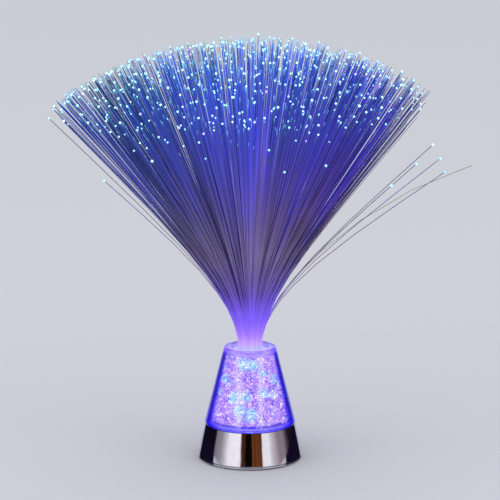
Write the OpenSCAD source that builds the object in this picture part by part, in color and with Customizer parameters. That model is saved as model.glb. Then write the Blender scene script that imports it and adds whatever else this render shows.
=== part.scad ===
// Battery fibre optic lamp: a chromed cone base with three cells, a clear cup of
// acrylic crystals on top of it, and a spray of plastic optical fibres.
// Millimetres, +Z up, origin on the table under the middle of the base.

/* [Base] */
// Outside diameter of the chromed base at its foot
base_d = 82; // [74:0.5:96]
// Height of the chromed base shell
base_h = 27.2; // [27:0.2:36]
// Outside diameter of the base where the clear cup sits on it
seam_d = 70; // [69.5:0.5:78]
// Wall of the base shell, measured level
base_wall = 2; // [1.6:0.1:2.4]
// How far the foot ring stands below the base shell
foot_proud = 0.8; // [0.5:0.1:2]
// Width of the rubber foot ring
foot_w = 2.4; // [1.8:0.1:2.6]
// Thickness of the bottom plate
plate_t = 2; // [1.8:0.1:3]

/* [Cup] */
// Height of the clear cup
cup_h = 60; // [50:1:80]
// Outside diameter of the cup at its top
cup_top_d = 40; // [38:0.5:50]
// Wall of the cup, measured level
cup_wall = 3.2; // [2.4:0.1:4]
// Width of the raised rim round the top of the cup
cup_rim_w = 5.5; // [4:0.1:6]
// Depth of the dish inside the cup's rim
cup_dish = 2; // [2:0.1:5]
// Thickness of the cup's top wall, under the dish
cup_top_t = 2; // [2:0.1:4]
// Thickness of the floor that closes the cup
floor_t = 2; // [1.5:0.1:3]
// Size of one acrylic crystal across its points
chip_d = 6; // [5:0.5:8]

/* [Fibres] */
// Diameter of the packed fibre bundle
bundle_d = 19; // [14:0.5:20]
// Diameter of one fibre
fiber_d = 0.6; // [0.5:0.05:0.9]
// Number of fibres
fiber_count = 300; // [300:1:320]
// Free length of the longest fibre, from the bundle to its lit tip
fiber_len = 245; // [150:1:280]
// Lean of the outermost fibres from upright, in degrees
spray_angle = 43; // [25:1:50]
// Length over which a fibre bends outwards
flare_len = 38; // [25:1:60]
// Wall of the tube round the bundle
tube_wall = 1; // [0.8:0.1:1.4]

/* [Batteries] */
// Size of the three cells: fit takes AA where the foot is wide enough, or else AAA
battery = "fit"; // [fit, AA, AAA]
// Length of a contact spring with the cell in place
spring_len = 3.6; // [2.6:0.1:3.6]
// Wall of the battery bay
bay_wall = 1.2; // [1:0.1:1.4]
// Thickness of the battery door
door_t = 1.6; // [1.4:0.1:1.6]

/* [Switch] */
// Travel of the switch knob
knob_travel = 3; // [2:0.1:3]
// Length of the switch knob along its travel
knob_l = 4; // [3:0.1:4]
// Width of the switch knob
knob_w = 3; // [2:0.1:3]

/* [Electronics] */
// Diameter of the light board
board_d = 30; // [29:0.5:34]
// Thickness of the light board
board_t = 1.6; // [1:0.1:1.6]
// Diameter of the main light's lens
led_d = 5; // [4:0.1:5]
// Diameter of an accent light's lens
accent_d = 3; // [2.4:0.1:3]
// Diameter of the wires, over the insulation
wire_d = 1.2; // [0.8:0.1:1.3]

/* [Hidden] */
$fn = 96;

eps = 0.05;       // a cut reaches this far past the face that it opens
slip = 0.1;       // gap between pieces that slip into each other
loose = 0.3;      // gap round a piece that is lifted out or moves

// Heights and radii of the base
rim_z = foot_proud;
seam_z = rim_z + base_h;
base_lean = (base_d - seam_d) / 2 / base_h;
function base_out(z) = base_d / 2 - (z - rim_z) * base_lean;
function base_in(z) = base_out(z) - base_wall;
foot_round = 0.7;                     // rounding of the shell's lower edge
ledge_t = 2;                          // ledge that carries the cup
ledge_w = 5;
ledge_hole_r = seam_d / 2 - ledge_w;
plate_z = rim_z + 0.6;                // underside of the bottom plate
plate_top = plate_z + plate_t;
plate_r = base_in(plate_top) - loose;
foot_seat = 0.4;                      // groove in the plate that takes the foot ring
foot_r = plate_r - loose;
foot_in_r = foot_r - foot_w;

// Cells lie along X, side by side along Y, and go in from below
nub_l = 1.5;
// three AA cells need this much room inside the shell, at the height of the bay's top corners
aa_corner_z = plate_z + door_t + 14.5;
aa_corner_r = norm([25.25 - nub_l + spring_len / 2, 22.05]) + loose + bay_wall;
takes_aa = battery == "AA" || (battery == "fit" && base_in(aa_corner_z) >= aa_corner_r);
cell_d = takes_aa ? 14.5 : 10.5;
cell_len = takes_aa ? 50.5 : 44.5;    // with the nub
cell_r = cell_d / 2;
cell_pitch = cell_d + loose;
cell_lift = 0.4;                      // gap between a cell and the door
door_top = plate_z + door_t;
cell_z = door_top + cell_lift + cell_r;
contact_t = 0.4;
nub_r = cell_r * 0.37;
spring_end_gap = 0.05;
plate_half = cell_r * 0.62;           // half the side of the square plate behind a cell
bay_half_l = cell_len / 2 + spring_len / 2 + contact_t + 0.2;
cell_shift = spring_len / 2;          // a cell sits towards its plate contact
bay_half_w = cell_pitch + cell_r + loose;
bay_roof_z = cell_z + cell_r + loose + bay_wall;
cell_body_x = cell_len / 2 + cell_shift - nub_l;
// the bay's corners are cut round the corners of the outer cells and of their contacts
cell_corner_r = norm([cell_body_x, cell_pitch + cell_r]) + loose;
plate_corner_r = norm([bay_half_l, cell_pitch + plate_half]) + slip;
bay_corner_r = max(cell_corner_r, plate_corner_r) + bay_wall;
cell_rows = [-1, 0, 1];
// 1 where a cell's nub points to +X: the outer two, because the cells are in series
function nub_side(row) = row == 0 ? -1 : 1;

// Bottom screws
screw_d = 2.6;
screw_len = 8;
head_d = 5;
head_h = 1.8;
pocket_r = head_d / 2 + 0.4;
pocket_depth = 3;
well_t = 1.5;                         // floor that a screw head clamps
well_r = pocket_r + 1.1;
screw_ring_r = foot_in_r - 0.2 - pocket_r;
screw_angle = 57;
screw_angles = [screw_angle, 180 - screw_angle, 180 + screw_angle, 360 - screw_angle];
boss_r = 2.8;
boss_z = plate_z + pocket_depth + well_t;

// Slide switch behind the bay, reached through a finger dish in the bottom plate
dish_depth = 2.5;
dish_floor_t = 1.5;
switch_z = plate_z + dish_depth + dish_floor_t;
switch_l = 11.8;
switch_w = 6.6;
switch_h = 5.6;
switch_skin = 0.5;
switch_y = bay_half_w + bay_wall + 2.3 + switch_w / 2;
ear_l = 19.4;
ear_hole_x = 7.8;
carriage_l = 7;
carriage_w = 5;
carriage_h = 2;
slot_l = knob_l + knob_travel + 2 * slip + 0.2;
slot_w = knob_w + 2 * loose;
knob_on_x = -knob_travel / 2;         // the knob as the photograph's lit lamp has it
knob_tip_z = plate_z + 0.5;
pad_l = ear_l + 2;
pad_w = switch_w + 2.8;
ear_screw_d = 2;
ear_screw_len = 3.4;
ear_head_d = 3.6;
ear_head_h = 1.2;
pin_pitch = 3;
pin_h = 3.2;
pin_below = 0.5;

// Battery door: it tips on two tabs at -X and snaps shut at +X
door_gap = loose;
pivot_x = -bay_half_l + door_gap / 2;
tab_w = 4.4;
tab_t = 1.2;
tab_reach = 2.35;                     // how far a tab passes the door's edge
tab_z = plate_top + slip;
tab_y = cell_pitch / 2;
latch_w = min(4.6, cell_pitch - 2 * plate_half - 2 * loose);
latch_h = 2.9;
latch_nub = 0.9;
nail_scoop_w = 9;                     // fingernail scoop beside the latch
nail_scoop_r = 1.5;
grip_grooves = 4;
grip_pitch = 2.4;
grip_w = 1;
grip_half_l = 8;
grip_depth = 0.4;
grip_inset = 12;                      // from the snap end to the first groove

// Light board
board_z = seam_z - 7.6;
board_top = board_z + board_t;
board_screw_x = board_d / 2 - 3;
board_screw_d = 2;
post_r = 2.2;
led_body_h = 8.6;
led_flange_h = 1;
accent_ring_r = board_d / 3;
accent_h = 5;
accent_angles = [90, 210, 330];
leg_d = 0.6;
leg_pitch = 2.54;
leg_below = 0.6;

// Cup, tube and bundle
cup_foot_r = seam_d / 2 + 0.3;
cup_top_z = seam_z + cup_h;
cup_lean = (cup_foot_r - cup_top_d / 2) / cup_h;
function cup_out(z) = cup_foot_r - (z - seam_z) * cup_lean;
function cup_in(z) = cup_out(z) - cup_wall;
dish_z = cup_top_z - cup_dish;
cup_ceiling = dish_z - cup_top_t;
dish_r = cup_top_d / 2 - cup_rim_w;
floor_top = seam_z + floor_t;
spigot_r = ledge_hole_r - slip - 0.05;
spigot_h = 1.8;
spigot_w = 1.8;
led_window_r = led_d / 2 + 2.5;
bundle_r = bundle_d / 2;
tube_in_r = bundle_r + 0.5;
tube_r = tube_in_r + tube_wall;
tube_top_z = dish_z + 1;
bundle_z = board_top + led_body_h + 0.8;
exit_z = dish_z - 0.5;
ferrule_len = 18;

// Fibres
slice_t = 1;
spray_z = exit_z + slice_t;
strand_sides = 3;
strand_stops = [0, 0.12, 0.32, 1];    // rings along a fibre, as shares of its length
strand_root = 0.4;                    // how far a fibre starts below the slice's top
travel_steps = 24;
root_r = bundle_r - fiber_d / 2 - 0.2;
golden = 137.508;                     // turn from one fibre to the next
length_spread = 0.045;                // shortest fibre is this share shorter than the longest
golden_part = 0.618034;               // spreads the lengths evenly among neighbours
lean_bias = 0.06;                     // the spray opens wider towards -X
// Strays near the rim: place counted back from the last fibre, lean it bends to, share of the
// length, and how much more a full length would sag
strays = [
    [10, 36, 0.83, 0], [12, 48, 0.86, 0], [20, 47.5, 0.71, 0], [33, 48, 0.79, 0],
    [44, 42.5, 0.81, 0], [46, 57, 0.83, 0], [50, 49, 0.7, 0], [54, 50.5, 0.87, 0],
    [57, 44.5, 0.86, 0], [60, 47, 0.92, 0], [67, 47.5, 0.92, 30]
];

// Wires run outside the battery bay, from solder joint to solder joint
wire_sides = 6;
wire_gap = 0.15;
solder_tab_w = 2.6;
tab_z0 = cell_z + plate_half * 0.58;  // middle of the solder tabs
tab_out = [
    bay_half_l + bay_wall + wire_gap + wire_d / 2,
    cell_pitch - plate_half + solder_tab_w / 2,
    tab_z0 + contact_t / 2
];
// Height of a wire in the valley between two rows of the bay, and over the bay's top
bay_to_wire = cell_r + loose + bay_wall + wire_gap + wire_d / 2;
valley_y = cell_pitch / 2;
valley_z = cell_z + sqrt(pow(bay_to_wire, 2) - pow(valley_y, 2));
over_bay_z = bay_roof_z + wire_d / 2 + 2 * wire_gap;
pin_top_z = switch_z + switch_h + pin_h;
positive_route = [
    tab_out, tab_out + [0, 0, 1.4], [tab_out.x, valley_y + 0.6, valley_z + 0.2],
    [bay_half_l + 0.4, valley_y, valley_z + 0.5], [bay_half_l - 3, valley_y, valley_z + 0.2],
    [bay_half_l - 6, cell_pitch * 0.6, valley_z + 1.8], [bay_half_l - 8.6, cell_pitch * 0.86, over_bay_z],
    [bay_half_l - 11, cell_pitch * 1.14, over_bay_z], [bay_half_l - 14, bay_half_w - 1.8, over_bay_z - 1],
    [bay_half_l - 17.4, bay_half_w + bay_wall + 0.6, pin_top_z + 3.4], [7, switch_y - 1.2, pin_top_z + 3],
    [pin_pitch + 0.9, switch_y - 0.2, pin_top_z + 2.4],
    [pin_pitch, switch_y, pin_top_z + 1.2], [pin_pitch, switch_y, pin_top_z]
];
// Solder pads on the board's top
switched_pad = [-5, 12.4];
negative_pad = [-10.6, -7.9];
pad_to_switch = switch_y - switched_pad.y;
switched_route = [
    [0, switch_y, pin_top_z], [0, switch_y, pin_top_z + 1.4],
    [-0.4, switched_pad.y + pad_to_switch * 0.94, board_z - 2.4],
    [-1.2, switched_pad.y + pad_to_switch * 0.77, board_z + 0.4],
    [-2.4, switched_pad.y + pad_to_switch * 0.54, board_top + 0.9],
    [-3.6, switched_pad.y + pad_to_switch * 0.3, board_top + 1.9],
    [-4.6, switched_pad.y + pad_to_switch * 0.1, board_top + 2.1],
    [switched_pad.x, switched_pad.y, board_top + 1.2], [switched_pad.x, switched_pad.y, board_top]
];
negative_route = [
    [-tab_out.x, -tab_out.y, tab_out.z], [-tab_out.x, -tab_out.y, tab_out.z + 1.4],
    [-tab_out.x, -valley_y - 0.6, valley_z + 0.2], [-bay_half_l - 0.4, -valley_y, valley_z + 0.5],
    [3 - bay_half_l, -valley_y, valley_z + 0.3], [-board_d / 2 - 5.4, -valley_y, valley_z + 1.4],
    [-board_d / 2 - 3.4, -valley_y, board_z], [-board_d / 2 - 1.4, -7.5, board_top + 1],
    [-board_d / 2 + 0.6, -7.7, board_top + 2.2], [-board_d / 2 + 3, -7.9, board_top + 2.2],
    [negative_pad.x, negative_pad.y, board_top + 1.2], [negative_pad.x, negative_pad.y, board_top]
];

// ---- helpers ----

function unit(v) = v / norm(v);

// Directions of travel at each point of a path
function headings(path) = [
    for (i = [0 : len(path) - 1])
        unit(path[min(i + 1, len(path) - 1)] - path[max(i - 1, 0)])
];

// A side direction at each point, carried along so that the section never twists
function carried(dirs, i = 0, last = [0, 0, 0]) =
    i == len(dirs) ? [] :
    let (
        seed = abs(dirs[0].z) < 0.9 ? [0, 0, 1] : [1, 0, 0],
        base = i == 0 ? cross(dirs[0], seed) : last,
        side = unit(base - (base * dirs[i]) * dirs[i])
    )
    concat([side], carried(dirs, i + 1, side));

// Rings of points round a path, one after another
function ring_points(path, r, sides) =
    let (dirs = headings(path), out = carried(dirs))
    [
        for (i = [0 : len(path) - 1])
        for (s = [0 : sides - 1])
            let (a = 360 * s / sides, up = cross(dirs[i], out[i]))
            path[i] + r * (cos(a) * out[i] + sin(a) * up)
    ];

// Triangles of a closed tube of some rings, for points that start at index first
function tube_faces(rings, sides, first = 0) = concat(
    [
        for (i = [0 : rings - 2])
        for (s = [0 : sides - 1])
            let (
                a = first + i * sides + s,
                b = first + i * sides + (s + 1) % sides
            )
            each [[a, a + sides, b], [b, a + sides, b + sides]]
    ],
    [for (s = [1 : sides - 2]) [first, first + s, first + s + 1]],
    [
        for (s = [1 : sides - 2])
            let (end = first + (rings - 1) * sides)
            [end, end + s + 1, end + s]
    ]
);

module tube_along(path, r, sides) {
    polyhedron(ring_points(path, r, sides), tube_faces(len(path), sides));
}

module ring(r_out, r_in, h) {
    difference() {
        cylinder(h = h, r = r_out);
        translate([0, 0, -eps]) cylinder(h = h + 2 * eps, r = r_in);
    }
}

module box(low, high) {
    translate(low) cube(high - low);
}

module at_plate_screws() {
    for (a = screw_angles)
        rotate([0, 0, a]) translate([screw_ring_r, 0, 0]) children();
}

module at_ears(z) {
    for (side = [-1, 1])
        translate([side * ear_hole_x, switch_y, z]) children();
}

module pan_screw(d, shank, head_d, head_h) {
    cylinder(h = shank, r = d / 2);
    difference() {
        translate([0, 0, -head_h]) cylinder(h = head_h, r1 = head_d / 2 * 0.8, r2 = head_d / 2);
        for (turn = [0, 90])
            rotate([0, 0, turn])
                translate([0, 0, -head_h]) cube([head_d * 0.55, head_d * 0.13, head_h], center = true);
    }
}

// ---- base ----

module base_shell() {
    inner_top = seam_z - ledge_t;
    color("silver")
    difference() {
        union() {
            rotate_extrude() {
                polygon([
                    [base_in(rim_z), rim_z], [base_out(rim_z) - foot_round, rim_z],
                    [base_out(rim_z + foot_round), rim_z + foot_round], [seam_d / 2, seam_z],
                    [ledge_hole_r, seam_z], [ledge_hole_r, inner_top], [base_in(inner_top), inner_top]
                ]);
                translate([base_out(rim_z + foot_round) - foot_round, rim_z + foot_round])
                    circle(r = foot_round, $fn = 32);
            }
            intersection() {
                at_plate_screws()
                    translate([0, 0, boss_z]) cylinder(h = inner_top - boss_z + eps, r = boss_r, $fn = 48);
                // the bosses end inside the shell's wall
                cylinder(h = seam_z, r1 = base_out(0) - base_wall / 2, r2 = base_out(seam_z) - base_wall / 2);
            }
        }
        at_plate_screws()
            translate([0, 0, boss_z - eps]) cylinder(h = screw_len, r = screw_d / 2 + eps, $fn = 48);
    }
}

module foot_ring() {
    color("#202022") ring(foot_r, foot_in_r, plate_z + foot_seat);
}

// The battery bay's space, or with grow its walls' outside
module bay_form(grow) {
    intersection() {
        union() {
            box([-bay_half_l - grow, -bay_half_w - grow, plate_z],
                [bay_half_l + grow, bay_half_w + grow, cell_z]);
            for (row = cell_rows)
                translate([-bay_half_l - grow, row * cell_pitch, cell_z])
                    rotate([0, 90, 0]) cylinder(h = 2 * (bay_half_l + grow), r = cell_r + loose + grow);
        }
        translate([0, 0, plate_z]) cylinder(h = base_h, r = bay_corner_r - bay_wall + grow);
    }
}

// Slits that a contact's solder tab passes, and windows for the door's tabs and latch
module bay_openings() {
    for (side = [-1, 1])
        translate([side * (bay_half_l + bay_wall / 2), side * tab_out.y, tab_z0])
            cube([bay_wall + 1, solder_tab_w + 2 * loose, contact_t + 2 * loose], center = true);
    for (side = [-1, 1])
        box([-bay_half_l - bay_wall - eps, side * tab_y - tab_w / 2 - loose, plate_top],
            [-bay_half_l + eps, side * tab_y + tab_w / 2 + loose, plate_top + 2.6]);
    box([bay_half_l - eps, tab_y - latch_w / 2 - loose, plate_top],
        [bay_half_l + bay_wall + eps, tab_y + latch_w / 2 + loose, plate_top + 1.4]);
}

module bottom_plate() {
    color("#2a2a2e")
    difference() {
        union() {
            translate([0, 0, plate_z]) cylinder(h = plate_t, r = plate_r);
            bay_form(bay_wall);
            at_plate_screws() translate([0, 0, plate_z]) cylinder(h = boss_z - plate_z, r = well_r, $fn = 48);
            box([-pad_l / 2, switch_y - pad_w / 2, plate_z], [pad_l / 2, switch_y + pad_w / 2, switch_z]);
            for (side = [-1, 1])
                translate([side * board_screw_x, 0, bay_roof_z - bay_wall])
                    cylinder(h = board_z - bay_roof_z + bay_wall, r = post_r, $fn = 48);
        }
        bay_form(0);
        // the door's opening runs out through the underside
        intersection() {
            box([-bay_half_l, -bay_half_w, plate_z - eps], [bay_half_l, bay_half_w, plate_top]);
            cylinder(h = plate_top, r = bay_corner_r - bay_wall);
        }
        bay_openings();
        translate([0, 0, plate_z - eps]) ring(foot_r + slip, foot_in_r - slip, foot_seat + eps);
        at_plate_screws() {
            translate([0, 0, plate_z - eps]) cylinder(h = pocket_depth + eps, r = pocket_r, $fn = 48);
            cylinder(h = boss_z + eps, r = screw_d / 2 + 0.2, $fn = 48);
        }
        // finger dish, slot for the knob and holes for the switch's screws
        translate([0, switch_y, plate_z - eps]) linear_extrude(dish_depth + eps)
            offset(r = 1.5, $fn = 32) square([slot_l + 2, slot_w + 1], center = true);
        box([-slot_l / 2, switch_y - slot_w / 2, plate_z],
            [slot_l / 2, switch_y + slot_w / 2, switch_z + eps]);
        at_ears(switch_z - ear_screw_len - 0.2)
            cylinder(h = ear_screw_len + 0.2 + eps, r = ear_screw_d / 2 + eps, $fn = 32);
        translate([bay_half_l, tab_y, plate_z]) rotate([90, 0, 0])
            cylinder(h = nail_scoop_w, r = nail_scoop_r, center = true, $fn = 48);
        for (side = [-1, 1])
            translate([side * board_screw_x, 0, bay_roof_z - bay_wall + 0.4])
                cylinder(h = board_z, r = board_screw_d / 2 + eps, $fn = 32);
    }
}

module plate_screws() {
    color("gray")
    at_plate_screws()
        translate([0, 0, plate_z + pocket_depth])
            pan_screw(screw_d, well_t + screw_len - 0.6, head_d, head_h, $fn = 48);
}

// ---- battery door, on the underside ----

module battery_door() {
    color("#2a2a2e")
    difference() {
        union() {
            intersection() {
                box([-bay_half_l + door_gap, -bay_half_w + door_gap, plate_z],
                    [bay_half_l - door_gap, bay_half_w - door_gap, door_top]);
                cylinder(h = door_top, r = bay_corner_r - bay_wall - door_gap);
            }
            for (side = [-1, 1]) {
                box([-bay_half_l + door_gap, side * tab_y - tab_w / 2, door_top - eps],
                    [-bay_half_l + 2, side * tab_y + tab_w / 2, tab_z + tab_t]);
                box([-bay_half_l - tab_reach, side * tab_y - tab_w / 2, tab_z],
                    [-bay_half_l + 1, side * tab_y + tab_w / 2, tab_z + tab_t]);
            }
        }
        // grip grooves across the snap end
        for (i = [0 : grip_grooves - 1])
            translate([bay_half_l - grip_inset + i * grip_pitch, 0, 0])
                box([0, -grip_half_l, plate_z - eps], [grip_w, grip_half_l, plate_z + grip_depth]);
    }
}

// The sprung tongue that snaps over the bay's end wall
module door_latch() {
    x = bay_half_l - door_gap;
    low = door_top;
    color("#34343a")
    translate([0, tab_y + latch_w / 2, 0]) rotate([90, 0, 0]) linear_extrude(latch_w)
        polygon([
            [x - 1.6, low], [x, low], [x, plate_top + 0.15], [x + latch_nub, plate_top + 0.15],
            [x + latch_nub, plate_top + 0.5], [x, plate_top + 1.2], [x, low + latch_h],
            [x - 0.9, low + latch_h], [x - 0.9, low + 0.9], [x - 1.6, low + 0.9]
        ]);
}

// ---- cells and contacts ----

module battery_cell(row) {
    side = nub_side(row);
    tip = side * (cell_len / 2 + cell_shift);
    translate([tip, row * cell_pitch, cell_z]) rotate([0, -90 * side, 0]) {
        color("#3f7f4f") translate([0, 0, nub_l]) cylinder(h = cell_len - nub_l, r = cell_r - 0.15);
        color("silver") cylinder(h = nub_l + eps, r = nub_r, $fn = 48);
    }
}

link_rise = 1;                        // how far the strip between two cells reaches above their axes

// A stamped plate against the bay's end wall: a square behind each cell, joined by a low strip
module contact_plate(side, rows) {
    inner = bay_half_l - 0.1;
    color("lightgray")
    translate([side * (inner - contact_t / 2), 0, cell_z]) {
        for (row = rows)
            translate([0, row * cell_pitch, 0])
                cube([contact_t, 2 * plate_half, 2 * plate_half], center = true);
        if (len(rows) > 1)
            box([-contact_t / 2, min(rows) * cell_pitch, -plate_half],
                [contact_t / 2, max(rows) * cell_pitch, link_rise]);
    }
}

module contact_end(side) {
    contact_plate(side, [side]);
    // solder tab through the slit in the end wall
    low = bay_half_l - loose;
    high = tab_out.x + wire_d / 2;
    color("lightgray")
        translate([side * (low + high) / 2, side * tab_out.y, tab_z0])
            cube([high - low, solder_tab_w, contact_t], center = true);
}

module contact_negative() contact_end(-1);

module contact_positive() contact_end(1);

module contact_link_left() contact_plate(-1, [0, 1]);

module contact_link_right() contact_plate(1, [-1, 0]);

spring_turns = 3;
spring_wire_r = 0.3;
spring_wide_r = cell_r * 0.55;
spring_tip_r = cell_r * 0.33;
spring_steps = 12;

// A cone-wound spring from the contact plate at z 0 to the cell's flat end
module cell_spring(length) {
    steps = spring_turns * spring_steps;
    path = [
        for (i = [0 : steps])
            let (
                t = i / steps,
                a = 360 * spring_turns * t,
                r = spring_wide_r + (spring_tip_r - spring_wide_r) * t
            )
            [r * cos(a), r * sin(a), spring_wire_r + (length - 2 * spring_wire_r) * t]
    ];
    tube_along(path, spring_wire_r, 6);
}

module contact_springs() {
    length = spring_len + 0.1 - 2 * spring_end_gap;
    color("silver")
    for (row = cell_rows) {
        side = -nub_side(row);
        translate([side * (bay_half_l - 0.1 - contact_t - spring_end_gap), row * cell_pitch, cell_z])
            rotate([0, -90 * side, 0]) cell_spring(length);
    }
}

// ---- slide switch ----

module switch_frame() {
    color("lightgray")
    difference() {
        union() {
            box([-switch_l / 2, switch_y - switch_w / 2, switch_z],
                [switch_l / 2, switch_y + switch_w / 2, switch_z + switch_h]);
            box([-ear_l / 2, switch_y - 2.2, switch_z], [ear_l / 2, switch_y + 2.2, switch_z + switch_skin]);
        }
        box([-switch_l / 2 + switch_skin, switch_y - switch_w / 2 + switch_skin, switch_z + switch_skin],
            [switch_l / 2 - switch_skin, switch_y + switch_w / 2 - switch_skin, switch_z + switch_h + eps]);
        box([-slot_l / 2, switch_y - slot_w / 2, switch_z - eps],
            [slot_l / 2, switch_y + slot_w / 2, switch_z + 1]);
        at_ears(switch_z - eps) cylinder(h = switch_skin + 2 * eps, r = ear_screw_d / 2 + 0.15, $fn = 32);
    }
}

board_inset = switch_skin + 0.1;
terminal_t = 1.2;

module switch_terminal_board() {
    top = switch_z + switch_h;
    color("#b08850")
    difference() {
        box([-switch_l / 2 + board_inset, switch_y - switch_w / 2 + board_inset, top - terminal_t],
            [switch_l / 2 - board_inset, switch_y + switch_w / 2 - board_inset, top]);
        for (i = [-1 : 1])
            box([i * pin_pitch - 0.6, switch_y - 0.3, top - terminal_t - eps],
                [i * pin_pitch + 0.6, switch_y + 0.3, top + eps]);
    }
}

module switch_pins() {
    top = switch_z + switch_h;
    color("silver")
    for (i = [-1 : 1])
        box([i * pin_pitch - 0.5, switch_y - 0.2, top - terminal_t - pin_below],
            [i * pin_pitch + 0.5, switch_y + 0.2, top + pin_h]);
}

// The knob rests where it closes the circuit, at -X, and slides to +X to open it
module switch_knob() {
    floor_z = switch_z + switch_skin + slip;
    color("#e8e8ec")
    translate([knob_on_x, switch_y, 0])
    difference() {
        union() {
            box([-carriage_l / 2, -carriage_w / 2, floor_z],
                [carriage_l / 2, carriage_w / 2, floor_z + carriage_h]);
            box([-knob_l / 2, -knob_w / 2, knob_tip_z], [knob_l / 2, knob_w / 2, floor_z + eps]);
        }
        for (i = [-1 : 1])
            box([i * 1.2 - 0.2, -knob_w / 2 - eps, knob_tip_z - eps],
                [i * 1.2 + 0.2, knob_w / 2 + eps, knob_tip_z + 0.4]);
    }
}

// The contact that the knob carries under the pins: it joins two of them at a time
module switch_bridge() {
    low = switch_z + switch_skin + slip + carriage_h;
    high = switch_z + switch_h - terminal_t - pin_below - 0.05;
    color("gold")
    translate([knob_on_x, switch_y, 0])
        box([-2.1, -1.2, low], [2.1, 1.2, high]);
}

module switch_screws() {
    color("gray")
    at_ears(switch_z + switch_skin) rotate([180, 0, 0])
        pan_screw(ear_screw_d, ear_screw_len + switch_skin, ear_head_d, ear_head_h, $fn = 32);
}

// ---- light board ----

module leg_pair(at_x, at_y, d) {
    for (side = [-1, 1])
        translate([at_x + side * leg_pitch / 2, at_y, 0]) cylinder(h = board_top, r = d / 2, $fn = 24);
}

module at_legs(d) {
    leg_pair(0, 0, d);
    for (a = accent_angles)
        leg_pair(accent_ring_r * cos(a), accent_ring_r * sin(a), d);
}

module led_board() {
    color("#e9efe9")
    difference() {
        translate([0, 0, board_z]) cylinder(h = board_t, r = board_d / 2);
        for (side = [-1, 1])
            translate([side * board_screw_x, 0, board_z - eps])
                cylinder(h = board_t + 2 * eps, r = board_screw_d / 2 + 0.2, $fn = 32);
        translate([0, 0, eps]) at_legs(leg_d + 0.2);
    }
}

module board_screws() {
    shank = board_top - bay_roof_z + bay_wall - 0.5;
    color("gray")
    for (side = [-1, 1])
        translate([side * board_screw_x, 0, board_top]) rotate([180, 0, 0])
            pan_screw(board_screw_d, shank, ear_head_d, ear_head_h, $fn = 32);
}

module led_lens(d, h) {
    rotate_extrude($fn = 64)
        intersection() {
            union() {
                square([d / 2, h - d / 2]);
                translate([0, h - d / 2]) circle(r = d / 2);
                square([d / 2 + 0.4, led_flange_h]);
            }
            square([d, h]);
        }
}

module main_led() {
    color("#bfe8ff", 0.8) translate([0, 0, board_top]) led_lens(led_d, led_body_h);
}

module accent_leds() {
    color("#bfe8ff", 0.8)
    for (a = accent_angles)
        translate([accent_ring_r * cos(a), accent_ring_r * sin(a), board_top]) led_lens(accent_d, accent_h);
}

module led_legs() {
    color("silver")
    intersection() {
        at_legs(leg_d);
        translate([0, 0, board_z - leg_below]) cylinder(h = board_t + leg_below, r = board_d / 2);
    }
}

chip_y = -accent_ring_r;
driver_l = 5;
driver_w = 4;
driver_h = 1.5;

module driver_chip() {
    color("#1c1c1e")
        box([-driver_l / 2, chip_y - driver_w / 2, board_top + 0.1],
            [driver_l / 2, chip_y + driver_w / 2, board_top + driver_h]);
    color("silver")
    for (i = [0 : 3])
    for (side = [-1, 1])
        translate([-1.905 + i * 1.27, chip_y + side * (driver_w / 2 + 0.45), board_top + 0.25])
            cube([0.4, 1, 0.5], center = true);
}

module resistors() {
    color("#1e1e22")
    for (side = [-1, 1])
    for (i = [0 : 1])
        translate([side * (5.2 + i * 2.4), 6.4 - i * 1.6, board_top + 0.3])
            cube([1.2, 2, 0.6], center = true);
}

// ---- wires ----

module wire_positive() color("crimson") tube_along(positive_route, wire_d / 2, wire_sides);

module wire_switched() color("crimson") tube_along(switched_route, wire_d / 2, wire_sides);

module wire_negative() color("#222226") tube_along(negative_route, wire_d / 2, wire_sides);

// ---- cup and crystals ----

module cup_floor() {
    color("#8f84ff", 0.6)
    difference() {
        union() {
            translate([0, 0, seam_z]) cylinder(h = floor_t, r = cup_in(floor_top) - slip);
            translate([0, 0, seam_z - spigot_h]) ring(spigot_r, spigot_r - spigot_w, spigot_h + eps);
        }
        translate([0, 0, seam_z - eps]) cylinder(h = floor_t + 2 * eps, r = led_window_r, $fn = 64);
        // seat for the tube
        translate([0, 0, floor_top - 0.8]) cylinder(h = 1, r = tube_r + slip);
    }
}

cup_foot_round = 1;
cup_rim_round = 1.2;

module crystal_cup() {
    color("#5f52ff", 0.45)
    rotate_extrude()
        difference() {
            union() {
                polygon([
                    [cup_in(seam_z), seam_z], [cup_foot_r - cup_foot_round, seam_z],
                    [cup_foot_r, seam_z + cup_foot_round], [cup_top_d / 2, cup_top_z - cup_rim_round],
                    [cup_top_d / 2 - cup_rim_round, cup_top_z], [dish_r + 0.6, cup_top_z],
                    [dish_r, cup_top_z - 0.6], [dish_r, dish_z], [tube_r + slip, dish_z],
                    [tube_r + slip, cup_ceiling], [cup_in(cup_ceiling), cup_ceiling]
                ]);
                translate([cup_foot_r - cup_foot_round, seam_z + cup_foot_round])
                    circle(r = cup_foot_round, $fn = 32);
                translate([cup_top_d / 2 - cup_rim_round, cup_top_z - cup_rim_round])
                    circle(r = cup_rim_round, $fn = 32);
            }
            // keeps the roundings clear of the base below
            translate([0, seam_z - 5]) square([cup_foot_r * 2, 5]);
        }
}

chip_sides = 6;
chip_pitch = chip_d * 1.01;
chip_gap = 0.2;
chip_low = floor_top + chip_gap + chip_d / 2;
chip_layers = floor((cup_ceiling - chip_gap - chip_d / 2 - chip_low) / chip_pitch);
chip_step = (cup_ceiling - chip_gap - chip_d / 2 - chip_low) / chip_layers;
chip_inner_r = tube_r + chip_gap + chip_d / 2;
// Outermost ring of crystals at a height, clear of the cup's leaning wall
function chip_outer_r(z) = cup_in(z) - (chip_gap + chip_d / 2) * sqrt(1 + cup_lean * cup_lean);

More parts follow.
